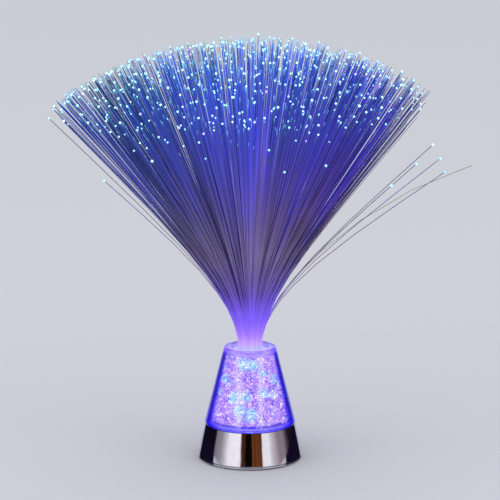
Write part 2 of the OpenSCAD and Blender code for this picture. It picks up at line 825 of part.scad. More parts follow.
// Radius, azimuth and height of every crystal: rings within rings, layer on layer
chip_places = [
    for (k = [0 : chip_layers])
        let (
            z = chip_low + k * chip_step,
            outer = chip_outer_r(z),
            rings = floor((outer - chip_inner_r) / chip_pitch)
        )
        for (j = [0 : rings])
            let (r = outer - j * chip_pitch, count = floor(180 / asin(chip_pitch / 2 / r)))
            for (i = [0 : count - 1])
                [r, 360 * i / count + 97 * k + 31 * j, z]
];
chip_tilts = rands(-20, 20, len(chip_places), 12);

// Corners of one crystal: points above and below a waist whose corners meet its ring neighbours',
// tipped inwards or outwards by tilt
function chip_corners(place, tilt) =
    let (h = chip_d / 2, step = 360 / chip_sides, turn = place[1] + 90)
    [
        for (p = concat(
            [[0, 0, h]],
            [for (s = [0 : chip_sides - 1]) h * [cos(s * step), sin(s * step), 0]],
            [[0, 0, -h]]
        ))
            let (y = p.y * cos(tilt) - p.z * sin(tilt), z = p.y * sin(tilt) + p.z * cos(tilt))
            [
                place[0] * cos(place[1]) + p.x * cos(turn) - y * sin(turn),
                place[0] * sin(place[1]) + p.x * sin(turn) + y * cos(turn),
                place[2] + z
            ]
    ];

module crystal_chips() {
    corners = chip_sides + 2;
    last = len(chip_places) - 1;
    color("#c9a2ff")
    polyhedron(
        [for (i = [0 : last]) each chip_corners(chip_places[i], chip_tilts[i])],
        [
            for (i = [0 : last])
            for (s = [0 : chip_sides - 1])
                let (f = i * corners, a = f + 1 + s, b = f + 1 + (s + 1) % chip_sides)
                each [[f, b, a], [f + corners - 1, a, b]]
        ]
    );
}

// ---- bundle and spray ----

module bundle_tube() {
    low = floor_top - 0.8;
    color("#d9d4ff", 0.5) translate([0, 0, low]) ring(tube_r, tube_in_r, tube_top_z - low);
}

module bundle_ferrule() {
    color("#f2f2f6")
        translate([0, 0, bundle_z + 0.5]) ring(tube_in_r - slip, bundle_r + slip, ferrule_len);
}

module fiber_bundle() {
    color("#d8c8ff") translate([0, 0, bundle_z]) cylinder(h = exit_z - bundle_z, r = bundle_r);
}

// Lean of a fibre from upright after a length s, for the lean it bends to and its sag
function lean_at(s, lean, sag) = lean * (1 - exp(-s / flare_len)) + sag * pow(s / fiber_len, 2);

// Outward and upward travel after a length s, summed over short steps
function travel(s, lean, sag) =
    let (
        ds = s / travel_steps,
        leans = [for (i = [0.5 : travel_steps - 0.5]) lean_at(i * ds, lean, sag)],
        ones = [for (a = leans) 1]
    )
    ds * [[for (a = leans) sin(a)] * ones, [for (a = leans) cos(a)] * ones];

// Rings of one fibre, in the upright plane of its azimuth
function strand_points(r, azimuth, lean, sag, length) = [
    for (t = strand_stops)
        let (
            p = travel(t * length, lean, sag),
            tip = lean_at(t * length, lean, sag),
            out = [cos(azimuth), sin(azimuth), 0],
            across = [-sin(azimuth), cos(azimuth), 0],
            over = cos(tip) * out - [0, 0, sin(tip)],
            centre = (r + p[0]) * out + [0, 0, spray_z - strand_root + p[1]]
        )
        for (k = [0 : strand_sides - 1])
            let (a = 360 * k / strand_sides)
            centre + fiber_d / 2 * (cos(a) * over + sin(a) * across)
];

function length_share(i) = 1 - length_spread * ((i * golden_part) % 1);

// Each fibre as start radius, azimuth, lean, sag and length, from the middle outwards
fibers = [
    for (i = [0 : fiber_count - 1])
        let (
            share = sqrt((i + 0.5) / fiber_count),
            at = search(fiber_count - i, strays),
            stray = at == [] ? [] : strays[at[0]],
            even = spray_angle * share * (1 - lean_bias * cos(i * golden))
        )
        at == []
            ? [root_r * share, i * golden, even, 0, fiber_len * length_share(i)]
            : [root_r * share, i * golden, stray[1], stray[3], fiber_len * stray[2]]
];

module fiber_spray() {
    rings = len(strand_stops);
    color("#a89cff")
    // one mesh: the slice and the fibres that leave it
    resize([0, 0, 0])
    union() {
        translate([0, 0, exit_z]) cylinder(h = slice_t, r = bundle_r, $fn = 16);
        polyhedron(
            [for (f = fibers) each strand_points(f[0], f[1], f[2], f[3], f[4])],
            [for (i = [0 : fiber_count - 1]) each tube_faces(rings, strand_sides, i * rings * strand_sides)]
        );
    }
}

base_shell();
bottom_plate();
plate_screws();
foot_ring();
battery_door();
door_latch();
battery_cell(cell_rows[0]);  // battery_cell_1
battery_cell(cell_rows[1]);  // battery_cell_2
battery_cell(cell_rows[2]);  // battery_cell_3
contact_negative();
contact_link_left();
contact_link_right();
contact_positive();
contact_springs();
switch_frame();
switch_terminal_board();
switch_pins();
switch_knob();
switch_bridge();
switch_screws();
led_board();
board_screws();
main_led();
accent_leds();
led_legs();
driver_chip();
resistors();
wire_positive();
wire_switched();
wire_negative();
cup_floor();
crystal_cup();
crystal_chips();
bundle_tube();
bundle_ferrule();
fiber_bundle();
fiber_spray();
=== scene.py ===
"""Looks of a battery fibre optic lamp.

A chromed cone base carries a clear cup of acrylic crystals, and a wide dome of
light-guide fibres with glowing tips opens from the cup's top. Metres, +Z up, the
photographed front is -Y. The lamp's sizes are written in millimetres and turned to
metres once, where a mesh is made; the studio's are metres, but for lens_mm and the like.
"""

import logging
import math
from collections.abc import Iterable
from dataclasses import dataclass, field
from enum import Enum
from typing import Any, ClassVar

import bpy
import numpy as np
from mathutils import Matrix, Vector


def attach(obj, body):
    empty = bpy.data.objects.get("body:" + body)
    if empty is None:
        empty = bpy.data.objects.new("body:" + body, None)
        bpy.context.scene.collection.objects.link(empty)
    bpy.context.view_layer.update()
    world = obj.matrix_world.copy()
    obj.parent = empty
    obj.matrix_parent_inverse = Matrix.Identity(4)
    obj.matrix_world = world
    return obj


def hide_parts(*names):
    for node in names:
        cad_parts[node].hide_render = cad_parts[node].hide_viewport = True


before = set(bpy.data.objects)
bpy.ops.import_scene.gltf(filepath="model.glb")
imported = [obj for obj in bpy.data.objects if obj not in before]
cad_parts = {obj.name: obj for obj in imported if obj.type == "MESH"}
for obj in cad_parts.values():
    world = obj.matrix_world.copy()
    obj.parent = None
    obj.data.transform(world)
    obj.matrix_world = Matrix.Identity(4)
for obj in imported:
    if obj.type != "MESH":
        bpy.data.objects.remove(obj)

LOG = logging.getLogger("fibre_lamp")
MM = 0.001
# the lamp's fixed body, which carries every new piece
BASE = "base"
# the angle and the two fractions that spread values evenly, however many there are
GOLDEN = math.radians(137.508)
GOLDEN_PART = 0.618034
PLASTIC_PART = 0.7548777
# what the front shows is repeated every third of a turn
THIRDS = (0, 120, 240)
# edges between faces that meet at more than this stay crisp
CRISP = math.radians(35)
# a whole turn for the random nodes, rounded
FULL_TURN = 6.28

Piece = bpy.types.Object
Tree = bpy.types.NodeTree
Node = bpy.types.Node
Socket = bpy.types.NodeSocket
Colour = tuple[float, float, float, float]
Profile = list[tuple[float, float]]


class Slot(Enum):
    """The record's material slots; a new piece is placed with one, but its finish is given directly."""

    CHROME = "chrome"
    ACRYLIC = "clear_acrylic"
    CRYSTAL = "crystal"
    FIBRE = "fiber"


def srgb(code: str) -> Colour:
    """Turns an sRGB hex code to a linear colour.

    Args:
        code: A '#' and six hex digits.

    Returns:
        Red, green, blue and full opacity, in linear light.
    """
    parts = [int(code[i : i + 2], 16) / 255 for i in (1, 3, 5)]
    red, green, blue = (c / 12.92 if c <= 0.04045 else ((c + 0.055) / 1.055) ** 2.4 for c in parts)
    return red, green, blue, 1.0


def linear(value: Any) -> Any:
    """A hex colour in linear light, and any other value as it is."""
    return srgb(value) if isinstance(value, str) and value.startswith("#") else value


def in_use(sockets: Iterable[Socket], name: str = "") -> Socket:
    """The first of a node's sockets that is in use and has the name, if one is given."""
    return next(s for s in sockets if s.enabled and name in ("", s.name))


def feed(node: Node, inputs: dict[str | int, Any]) -> None:
    """Gives a node's inputs their values and links.

    Args:
        node: The node.
        inputs: Name or index of an input, to a value, to a hex colour, to the output that
            it is linked from, or to a node, which stands for its first output in use.
    """
    for key, value in inputs.items():
        socket = node.inputs[key] if isinstance(key, int) else in_use(node.inputs, key)
        if isinstance(value, Node):
            value = in_use(value.outputs)
        if isinstance(value, Socket):
            node.id_data.links.new(value, socket)
        else:
            socket.default_value = linear(value)


def add(tree: Tree, kind: str, inputs: dict[str | int, Any] | None = None, **settings: Any) -> Node:
    """Adds one node with its settings, values and links.

    Args:
        tree: Shader or geometry tree that gets the node.
        kind: Blender's name of the node's type, without ShaderNode in front of it.
        inputs: What its inputs take, as feed() has it.
        **settings: Properties of the node; stops fills a colour ramp with
            (place, colour) pairs.

    Returns:
        The new node.
    """
    node = tree.nodes.new(kind if "Node" in kind else "ShaderNode" + kind)
    stops = settings.pop("stops", ())
    for key, value in settings.items():
        setattr(node, key, value)
    for i, (place, colour) in enumerate(stops):
        marks = node.color_ramp.elements
        mark = marks[i] if i < 2 else marks.new(place)
        mark.position = place
        mark.color = linear(colour)
    feed(node, inputs or {})
    return node


# ---- finishes ----


@dataclass(frozen=True)
class Finish:
    """A real finish, made once as a named material and shared by its pieces."""

    name: str

    def material(self) -> bpy.types.Material:
        """Makes the finish's material when it is first asked for.

        Returns:
            The material of the finish's name.
        """
        made = bpy.data.materials.get(self.name)
        if made is None:
            made = bpy.data.materials.new(self.name)
            made.use_nodes = True
            tree = made.node_tree
            place = add(tree, "TexCoord").outputs["Object"]
            mm = add(tree, "Mapping", {"Vector": place, "Scale": (1 / MM,) * 3})
            self.shade(tree, tree.nodes["Principled BSDF"], mm)
        return made

    def shade(self, tree: Tree, skin: Node, mm: Node) -> None:
        """Sets the look on the surface shader; each finish has its own.

        Args:
            tree: The material's node tree.
            skin: Its Principled shader.
            mm: Gives the point on the object, in millimetres.
        """
        raise NotImplementedError

    def dress(self, piece: Piece) -> None:
        """Makes this the only finish of a piece."""
        piece.data.materials.clear()
        piece.data.materials.append(self.material())


@dataclass(frozen=True)
class MouldedPlastic(Finish):
    """Injection-moulded plastic with the fine spark-eroded grain of its tool."""

    colour: str
    worn: str
    roughness: float = 0.5
    grain_mm: float = 0.35
    relief_mm: float = 0.02

    def shade(self, tree: Tree, skin: Node, mm: Node) -> None:
        """Matt grain, faint flow marks and slightly paler rubbed patches."""
        grain = add(tree, "TexNoise", {"Vector": mm, "Scale": 1 / self.grain_mm, "Detail": 3.0})
        flow = add(tree, "TexNoise", {"Vector": mm, "Scale": 0.06, "Detail": 4.0, "Distortion": 0.8})
        tint = add(tree, "ValToRGB", {"Fac": flow}, stops=((0.42, self.colour), (0.72, self.worn)))
        rough = add(tree, "MapRange", {"Value": flow, "To Min": self.roughness - 0.06,
                                       "To Max": self.roughness + 0.08})
        bump = add(tree, "Bump", {"Height": grain, "Strength": 0.6, "Distance": self.relief_mm * MM})
        feed(skin, {"Base Color": tint, "Roughness": rough, "Normal": bump, "IOR": 1.53})


@dataclass(frozen=True)
class Metal(Finish):
    """Plated or bare sheet and turned metal, brushed along or tumbled."""

    colour: str
    shadow: str
    roughness: float = 0.3
    stretch: tuple[float, float, float] = (1.0, 1.0, 1.0)
    grain_mm: float = 0.3

    def shade(self, tree: Tree, skin: Node, mm: Node) -> None:
        """Fine drawn lines with cloudy changes of the plating's shine."""
        lie = add(tree, "Mapping", {"Vector": mm, "Scale": self.stretch})
        lines = add(tree, "TexNoise", {"Vector": lie, "Scale": 1 / self.grain_mm, "Detail": 2.0})
        cloud = add(tree, "TexNoise", {"Vector": mm, "Scale": 0.4, "Detail": 3.0})
        tint = add(tree, "ValToRGB", {"Fac": cloud}, stops=((0.35, self.shadow), (0.65, self.colour)))
        rough = add(tree, "MapRange", {"Value": lines, "To Min": max(self.roughness - 0.08, 0.02),
                                       "To Max": self.roughness + 0.1})
        bump = add(tree, "Bump", {"Height": lines, "Strength": 0.3, "Distance": 0.01 * MM})
        feed(skin, {"Base Color": tint, "Roughness": rough, "Normal": bump, "Metallic": 1.0})


@dataclass(frozen=True)
class ChromePlate(Finish):
    """Bright chrome plating on moulded plastic: a mirror with a faint ripple."""

    colour: str = "#d9d8de"
    hazed: str = "#cfced8"
    ripple_mm: float = 9.0

    def shade(self, tree: Tree, skin: Node, mm: Node) -> None:
        """A clean mirror, softened a little in patches, over the moulding's slow ripple."""
        ripple = add(tree, "TexNoise", {"Vector": mm, "Scale": 1 / self.ripple_mm, "Detail": 1.0})
        haze = add(tree, "TexNoise", {"Vector": mm, "Scale": 0.22, "Detail": 5.0})
        rough = add(tree, "MapRange", {"Value": haze, "From Min": 0.3, "From Max": 0.75, "To Min": 0.03,
                                       "To Max": 0.09})
        tint = add(tree, "ValToRGB", {"Fac": haze}, stops=((0.3, self.colour), (0.8, self.hazed)))
        bump = add(tree, "Bump", {"Height": ripple, "Strength": 0.5, "Distance": 0.05 * MM})
        feed(skin, {"Base Color": tint, "Roughness": rough, "Normal": bump, "Metallic": 1.0})


@dataclass(frozen=True)
class LitAcrylic(Finish):
    """Clear polished acrylic, with a painted blue glow at its edges for the diodes' light that it carries."""

    tint: str = "#ece8ff"
    middle: str = "#4a34ff"
    deep: str = "#0d07d0"
    glow: str = "#3c32ff"
    wall_glow: float = 0.025
    edge_glow: float = 0.26
    line: str = "#160a78"
    line_share: float = 0.8
    rim_tint: str = "#a684ff"
    rim_glow: str = "#7848ff"
    rim_power: float = 0.26
    rim_r_mm: float = 18.5
    dish_glow: str = "#a8b0ff"
    dish_power: float = 0.62
    dish_r_mm: float = 12.0
    low_edge_mm: float = 29.0
    high_edge_mm: float = 86.0

    def shade(self, tree: Tree, skin: Node, mm: Node) -> None:
        """Clear walls, deeper blue where more acrylic is looked through, with a painted glow at foot and rim."""
        height = add(tree, "SeparateXYZ", {"Vector": mm}).outputs["Z"]
        above = add(tree, "MapRange", {"Value": height, "From Min": self.low_edge_mm - 1,
                                       "From Max": self.low_edge_mm + 5})
        # the thick foot's painted reflections: two bands of painted glow with a painted dark line over each
        full, none, lined, clear = (
            (share, share, share, 1) for share in (self.edge_glow, self.wall_glow, self.line_share, 0))
        foot = add(tree, "ValToRGB", {"Fac": above}, stops=(
            (0.07, full), (0.14, none), (0.25, none), (0.33, full), (0.55, full), (0.63, none)))
        line = add(tree, "ValToRGB", {"Fac": above}, stops=(
            (0.08, clear), (0.14, lined), (0.24, lined), (0.3, clear), (0.6, clear), (0.65, lined), (0.72, lined),
            (0.77, clear)))
        cloud = add(tree, "TexNoise", {"Vector": mm, "Scale": 0.16, "Detail": 2.0})
        uneven = add(tree, "MapRange", {"Value": cloud, "To Min": 0.4, "To Max": 1.6})
        low = add(tree, "Math", {0: foot, 1: uneven}, operation="MULTIPLY")
        # the rim with its painted glow and tint, and the dish inside it, whose painted glow is paler
        rim = add(tree, "MapRange", {"Value": height, "From Min": self.high_edge_mm - 2,
                                     "From Max": self.high_edge_mm}, interpolation_type="SMOOTHSTEP")
        flat = add(tree, "VectorMath", {0: mm, 1: (1, 1, 0)}, operation="MULTIPLY")
        reach = add(tree, "VectorMath", {0: flat}, operation="LENGTH")
        dish = add(tree, "MapRange", {"Value": reach, "From Min": self.rim_r_mm, "From Max": self.dish_r_mm})
        bright = add(tree, "MapRange", {"Value": dish, "To Min": self.rim_power, "To Max": self.dish_power})
        crown = add(tree, "Mix", {"Factor": dish, "A": self.rim_glow, "B": self.dish_glow}, data_type="RGBA")
        power = add(tree, "Mix", {"Factor": rim, "A": low, "B": bright}, data_type="FLOAT")
        glow = add(tree, "Mix", {"Factor": rim, "A": self.glow, "B": crown}, data_type="RGBA")
        slant = add(tree, "LayerWeight", {"Blend": 0.5}).outputs["Facing"]
        depth = add(tree, "ValToRGB", {"Fac": slant}, stops=(
            (0.39, self.tint), (0.49, self.middle), (0.57, self.deep)))
        tinted = add(tree, "Mix", {"Factor": rim, "A": depth, "B": self.rim_tint}, data_type="RGBA")
        drawn = add(tree, "Mix", {"Factor": line, "A": tinted, "B": self.line}, data_type="RGBA")
        flow = add(tree, "TexNoise", {"Vector": mm, "Scale": 0.09, "Detail": 1.0})
        bump = add(tree, "Bump", {"Height": flow, "Strength": 0.4, "Distance": 0.12 * MM})
        # the emission is painted glow, and the base colour carries the foot's painted dark lines
        feed(skin, {"Base Color": drawn, "Emission Strength": power, "Emission Color": glow, "Normal": bump,
                    "Transmission Weight": 1.0, "Roughness": 0.03, "IOR": 1.49})


@dataclass(frozen=True)
class AcrylicCrystal(Finish):
    """Faceted clear acrylic bits, with the light from below painted on as glow: lilac, with painted cyan and white
    glints.
    """

    glint_mm: float = 2.1
    cool: str = "#92b4fc"
    pale: str = "#f0eaff"
    painted_dark_line: str = "#3c20b0"

    def shade(self, tree: Tree, skin: Node, mm: Node) -> None:
        """A tone per crystal and a painted glint per facet; crystals in a diode's painted light turn cyan."""
        tone, near, beside = (
            add(tree, "Attribute", attribute_name=name).outputs["Fac"] for name in ("tone", "near_light", "by_tube"))
        # painted glints: each flat facet gets a brightness of its own from its normal
        facing = add(tree, "NewGeometry").outputs["True Normal"]
        steady = add(tree, "VectorMath", {0: facing, 1: (0.04, 0.04, 0.04)}, operation="SNAP")
        facet = add(tree, "TexWhiteNoise", {"Vector": steady}, noise_dimensions="3D")
        cells = add(tree, "TexVoronoi", {"Vector": mm, "Scale": 1 / self.glint_mm}).outputs["Color"]
        edges = add(tree, "TexVoronoi", {"Vector": mm, "Scale": 1 / self.glint_mm}, feature="DISTANCE_TO_EDGE")
        cell = add(tree, "SeparateColor", {"Color": cells}).outputs["Red"]
        whole = add(tree, "Mix", {"Factor": 0.55, "A": tone, "B": facet}, data_type="FLOAT")
        both = add(tree, "Mix", {"Factor": 0.45, "A": whole, "B": cell}, data_type="FLOAT")
        body = add(tree, "ValToRGB", {"Fac": both}, stops=(
            (0.13, "#3c22b4"), (0.23, "#a47ce8"), (0.36, "#c298ee"), (0.56, "#d4a6f2"), (0.68, "#e4c6fa"),
            (0.78, "#fbf8ff")))
        cold = add(tree, "ValToRGB", {"Fac": both}, stops=(
            (0.12, "#64a8f0"), (0.28, "#88ecfc"), (0.46, "#b8fafc"), (0.7, "#f2ffff")))
        drift = add(tree, "TexNoise", {"Vector": mm, "Scale": 0.11, "Detail": 2.0})
        cool = add(tree, "MapRange", {"Value": drift, "From Min": 0.5, "From Max": 0.7, "To Max": 0.45})
        hued = add(tree, "Mix", {"Factor": cool, "A": body, "B": self.cool}, data_type="RGBA")
        # painted pale streaks where the tube's edges show behind the crystals
        paler = add(tree, "Math", {0: beside, 1: 0.6}, operation="MULTIPLY")
        pale = add(tree, "Mix", {"Factor": paler, "A": hued, "B": self.pale}, data_type="RGBA")
        # crystals in a diode's painted cold light turn cyan
        mixed = add(tree, "Mix", {"Factor": near, "A": pale, "B": cold}, data_type="RGBA")
        # painted dark lines along the cells' edges, standing for the crystals' inner reflections
        painted_dark_line = add(tree, "MapRange", {"Value": edges, "From Min": 0.03, "From Max": 0.1, "To Min": 0.75,
                                      "To Max": 0.0})
        drawn = add(tree, "Mix", {"Factor": painted_dark_line, "A": mixed, "B": self.painted_dark_line}, data_type="RGBA")
        # painted glow: the crystals shine by emission, stronger on the brighter facets
        power = add(tree, "MapRange", {"Value": both, "From Min": 0.1, "From Max": 0.9, "To Min": 0.76,
                                       "To Max": 1.1})
        base = add(tree, "VectorMath", {0: drawn, "Scale": 0.4}, operation="SCALE")
        feed(skin, {"Base Color": base, "Emission Color": drawn, "Emission Strength": power,
                    "Transmission Weight": 0.15, "Roughness": 0.12, "IOR": 1.49})


@dataclass(frozen=True)
class LightFibre(Finish):
    """Smooth acrylic light-guide fibre with a painted glow: violet at the root, deep blue to cyan at the tip."""

    side_fade: float = 0.42
    blue: str = "#4246f0"
    ivory: str = "#8f886e"
    left: Colour = (0.86, 1.22, 1.0, 1.0)
    right: Colour = (1.14, 0.78, 1.0, 1.0)

    def shade(self, tree: Tree, skin: Node, mm: Node) -> None:
        """The painted glow's colour runs along the fibre, and some fibres carry less painted light than others."""
        along, tone, rank, across, light = (
            add(tree, "Attribute", attribute_name=name).outputs["Fac"]
            for name in ("along", "tone", "rank", "across", "light"))
        vivid, dull, dark = (add(tree, "ValToRGB", {"Fac": along}, stops=stops) for stops in (
            ((0.0, "#bccafc"), (0.02, "#ceb4fa"), (0.05, "#b68af8"), (0.1, "#8460ff"), (0.17, "#7658ec"),
             (0.25, "#745fb2"), (0.36, "#74679c"), (0.46, "#70629a"), (0.57, "#695cb0"), (0.7, "#5c51ca"),
             (0.86, "#3e4ab8"), (0.98, "#386cc4"), (1.0, "#9ff0ff")),
            ((0.0, "#b8c6fa"), (0.02, "#c8aef8"), (0.05, "#ae84f2"), (0.1, "#8262f2"), (0.17, "#765cd8"),
             (0.25, "#7264ae"), (0.37, "#726790"), (0.5, "#685b84"), (0.68, "#50468a"), (0.9, "#36408c"),
             (0.98, "#34509c"), (1.0, "#8fe4ff")),
            ((0.0, "#aabef6"), (0.02, "#b898f0"), (0.06, "#9470e8"), (0.13, "#6a52c8"), (0.22, "#3a2f78"),
             (0.4, "#252048"), (0.7, "#1c1a50"), (1.0, "#1e3880"))))
        # painted shade: the glow is duller towards the bundle's rim, and some fibres among the lit ones are painted
        # dark
        spread = add(tree, "Math", {0: tone, 1: 0.7, 2: rank}, operation="MULTIPLY_ADD")
        outer = add(tree, "MapRange", {"Value": spread, "From Min": 0.85, "From Max": 1.4})
        dark_share = add(tree, "MapRange", {"Value": rank, "From Min": 0.5, "To Min": 0.12, "To Max": 0.32})
        is_dark = add(tree, "Math", {0: tone, 1: dark_share}, operation="LESS_THAN")
        first = add(tree, "Mix", {"Factor": outer, "A": vivid, "B": dull}, data_type="RGBA")
        colour = add(tree, "Mix", {"Factor": is_dark, "A": first, "B": dark}, data_type="RGBA")
        # past the root, painted shade: the glow fades at the left and right sides of the spray and in its dimmer
        # locks
        beyond = add(tree, "MapRange", {"Value": along, "From Min": 0.12, "From Max": 0.4})
        side = add(tree, "Math", {0: across}, operation="ABSOLUTE")
        fade = add(tree, "MapRange", {"Value": side, "To Min": 1.0, "To Max": 1 - self.side_fade})
        dimmed = add(tree, "Math", {0: fade, 1: light}, operation="MULTIPLY")
        share = add(tree, "Mix", {"Factor": beyond, "A": 1.0, "B": dimmed}, data_type="FLOAT")
        # from halfway up, painted coloured light: the brighter locks turn blue, the left side greener and the right
        # redder
        high = add(tree, "MapRange", {"Value": along, "From Min": 0.38, "From Max": 0.62})
        blue = add(tree, "MapRange", {"Value": light, "From Min": 1.05, "From Max": 1.35, "To Max": 0.45})
        late = add(tree, "Math", {0: blue, 1: high}, operation="MULTIPLY")
        deeper = add(tree, "Mix", {"Factor": late, "A": colour, "B": self.blue}, data_type="RGBA")
        turn = add(tree, "MapRange", {"Value": across, "From Min": -0.9, "From Max": 0.9})
        hue = add(tree, "Mix", {"Factor": turn, "A": self.left, "B": self.right}, data_type="RGBA")
        late_hue = add(tree, "Mix", {"Factor": high, "A": "#ffffff", "B": hue}, data_type="RGBA")
        hued = add(tree, "VectorMath", {0: deeper, 1: late_hue}, operation="MULTIPLY")
        shown = add(tree, "VectorMath", {0: hued, "Scale": share}, operation="SCALE")
        # a fibre that carries no light shows ivory past the root, painted into its glow
        unlit = add(tree, "Math", {0: light, 1: 0.5}, operation="LESS_THAN")
        bare = add(tree, "Math", {0: unlit, 1: beyond}, operation="MULTIPLY")
        lit = add(tree, "Mix", {"Factor": bare, "A": shown, "B": self.ivory}, data_type="RGBA")
        body = add(tree, "VectorMath", {0: lit, "Scale": 0.45}, operation="SCALE")
        # painted glow, stronger and weaker in wide clouds
        cloud = add(tree, "TexNoise", {"Vector": mm, "Scale": 0.02, "Detail": 2.0})
        power = add(tree, "MapRange", {"Value": cloud, "From Min": 0.3, "From Max": 0.7, "To Min": 0.6,
                                       "To Max": 0.95})
        feed(skin, {"Base Color": body, "Emission Color": lit, "Emission Strength": power, "Roughness": 0.3,
                    "IOR": 1.49, "Specular IOR Level": 0.12})


@dataclass(frozen=True)
class GlowingTip(Finish):
    """The fibre's heat-rounded end, where all of its light comes out, painted on as glow."""

    def shade(self, tree: Tree, skin: Node, mm: Node) -> None:
        """Painted glow, with a painted white core in the bead's middle and cyan round its edge; a few violet ends."""
        tone = add(tree, "Attribute", attribute_name="tone").outputs["Fac"]
        edge = add(tree, "ValToRGB", {"Fac": tone}, stops=(
            (0.0, "#a04bff"), (0.06, "#3f8dff"), (0.3, "#2fb4ff"), (1.0, "#5fd8ff")))
        core = add(tree, "ValToRGB", {"Fac": tone}, stops=((0.0, "#d8a8ff"), (0.08, "#bfeeff"), (1.0, "#f4ffff")))
        slant = add(tree, "LayerWeight", {"Blend": 0.5}).outputs["Facing"]
        out = add(tree, "MapRange", {"Value": slant, "From Min": 0.12, "From Max": 0.5})
        colour = add(tree, "Mix", {"Factor": out, "A": core, "B": edge}, data_type="RGBA")
        power = add(tree, "MapRange", {"Value": tone, "To Min": 0.8, "To Max": 1.1})
        feed(skin, {"Base Color": colour, "Emission Color": colour, "Emission Strength": power, "Roughness": 0.15,
                    "IOR": 1.49})


@dataclass(frozen=True)
class LedResin(Finish):
    """Clear cast resin of a lit diode, cooler and brighter towards its dome."""

    low: str = "#6f8dff"
    crown: str = "#e2ecff"

    def shade(self, tree: Tree, skin: Node, mm: Node) -> None:
        """A blue-white light with a paler crown."""
        height = add(tree, "SeparateXYZ", {"Vector": mm}).outputs["Z"]
        rise = add(tree, "MapRange", {"Value": height, "From Min": 22.0, "From Max": 30.0})
        colour = add(tree, "ValToRGB", {"Fac": rise}, stops=((0.0, self.low), (1.0, self.crown)))
        feed(skin, {"Base Color": colour, "Emission Color": colour, "Emission Strength": 1.0,
                    "Transmission Weight": 0.4, "Roughness": 0.08, "IOR": 1.54})


@dataclass(frozen=True)
class CellFilm(Finish):
    """Plain film shrunk round a dry cell, with its bare steel ends showing."""

    film: str = "#2f5f43"
    stretched: str = "#3b7353"
    steel: str = "#a9a9a6"
    half_length_mm: float = 23.6

    def shade(self, tree: Tree, skin: Node, mm: Node) -> None:
        """Green film in the middle and bare steel past its ends."""
        along = add(tree, "SeparateXYZ", {"Vector": mm}).outputs["X"]
        reach = add(tree, "Math", {0: along}, operation="ABSOLUTE")
        bare = add(tree, "Math", {0: reach, 1: self.half_length_mm}, operation="GREATER_THAN")
        pull = add(tree, "TexNoise", {"Vector": mm, "Scale": 0.5, "Detail": 3.0})
        film = add(tree, "ValToRGB", {"Fac": pull}, stops=((0.3, self.film), (0.8, self.stretched)))
        colour = add(tree, "Mix", {"Factor": bare, "A": film, "B": self.steel}, data_type="RGBA")
        bump = add(tree, "Bump", {"Height": pull, "Strength": 0.4, "Distance": 0.05 * MM})
        feed(skin, {"Base Color": colour, "Metallic": bare, "Normal": bump, "Roughness": 0.3})


@dataclass(frozen=True)
class StudioFloor(Finish):
    """The plain pale paper that the lamp stands on."""

    colour: str = "#d2d3d8"

    def shade(self, tree: Tree, skin: Node, mm: Node) -> None:
        """Matt paper with the faintest fibre."""
        fibre = add(tree, "TexNoise", {"Vector": mm, "Scale": 0.8, "Detail": 2.0})
        bump = add(tree, "Bump", {"Height": fibre, "Strength": 0.1, "Distance": 0.05 * MM})
        feed(skin, {"Normal": bump, "Base Color": self.colour, "Roughness": 0.9, "Specular IOR Level": 0.0})


# chrome on moulded plastic: a mirror with the moulding's slow ripple
CHROME = ChromePlate("chrome_plated_abs")
# polished acrylic cup, tube and floor, with a painted blue glow through their edges
CUP_ACRYLIC = LitAcrylic("polished_acrylic_lit_blue")
TUBE_ACRYLIC = LitAcrylic("extruded_acrylic_tube", tint="#f0ecff", middle="#c8bcff", deep="#a58cff",
                         glow="#b9a4ff", wall_glow=0.22, edge_glow=0.2, line_share=0.0, rim_tint="#d6ccff",
                         rim_glow="#a890ff", dish_power=0.3, high_edge_mm=86.8)
FLOOR_ACRYLIC = LitAcrylic("moulded_acrylic_floor", tint="#c9c4ff", glow="#7466ff", wall_glow=0.3, line_share=0.0)
# tumbled acrylic bits with a painted glow: each face has a painted glint of its own strength
CRYSTAL = AcrylicCrystal("acrylic_crystals")
# drawn light-guide fibre, smooth and with a painted glow, and its rounded end, also glowing with painted light
FIBRE = LightFibre("acrylic_light_fibre")
TIP = GlowingTip("heat_rounded_fibre_tip")
# moulded ABS, black, pale and white: matt, finely grained
BLACK_ABS = MouldedPlastic("moulded_black_abs", "#17171a", "#232327")
KNOB_ABS = MouldedPlastic("moulded_pale_abs", "#d3d3d8", "#dedee2", roughness=0.4)
FERRULE_ABS = MouldedPlastic("moulded_white_abs", "#ececf2", "#f5f5f8", roughness=0.35)
# moulded rubber: duller and coarser than the plastic round it
RUBBER = MouldedPlastic("moulded_black_rubber", "#101011", "#1b1b1d", roughness=0.75, grain_mm=0.6, relief_mm=0.05)
# zinc-plated screw steel: bluish grey, tumbled
ZINC = Metal("zinc_plated_steel", "#b3b6bb", "#8e9299", roughness=0.32)
# nickel-plated spring steel and rolled brass strip: bright, drawn along
NICKEL = Metal("nickel_plated_steel", "#c9c6bf", "#aaa69d", roughness=0.22, stretch=(1.0, 4.0, 0.3))
BRASS = Metal("rolled_brass", "#cfa553", "#b08a3f", roughness=0.28, stretch=(0.3, 3.0, 1.0))
# glass-epoxy and paper laminate: flat, slightly mottled by the weave
LAMINATE = MouldedPlastic("glass_epoxy_laminate", "#dfe8df", "#ecf2ec", roughness=0.38, grain_mm=0.8)
PAPER_LAMINATE = MouldedPlastic("paper_phenolic_laminate", "#7a4a22", "#8a5a2e", grain_mm=0.8)
# transfer-moulded epoxy: black, and finer in its grain than ABS
CHIP_RESIN = MouldedPlastic("moulded_black_epoxy", "#0e0e10", "#19191c", roughness=0.42, grain_mm=0.15)
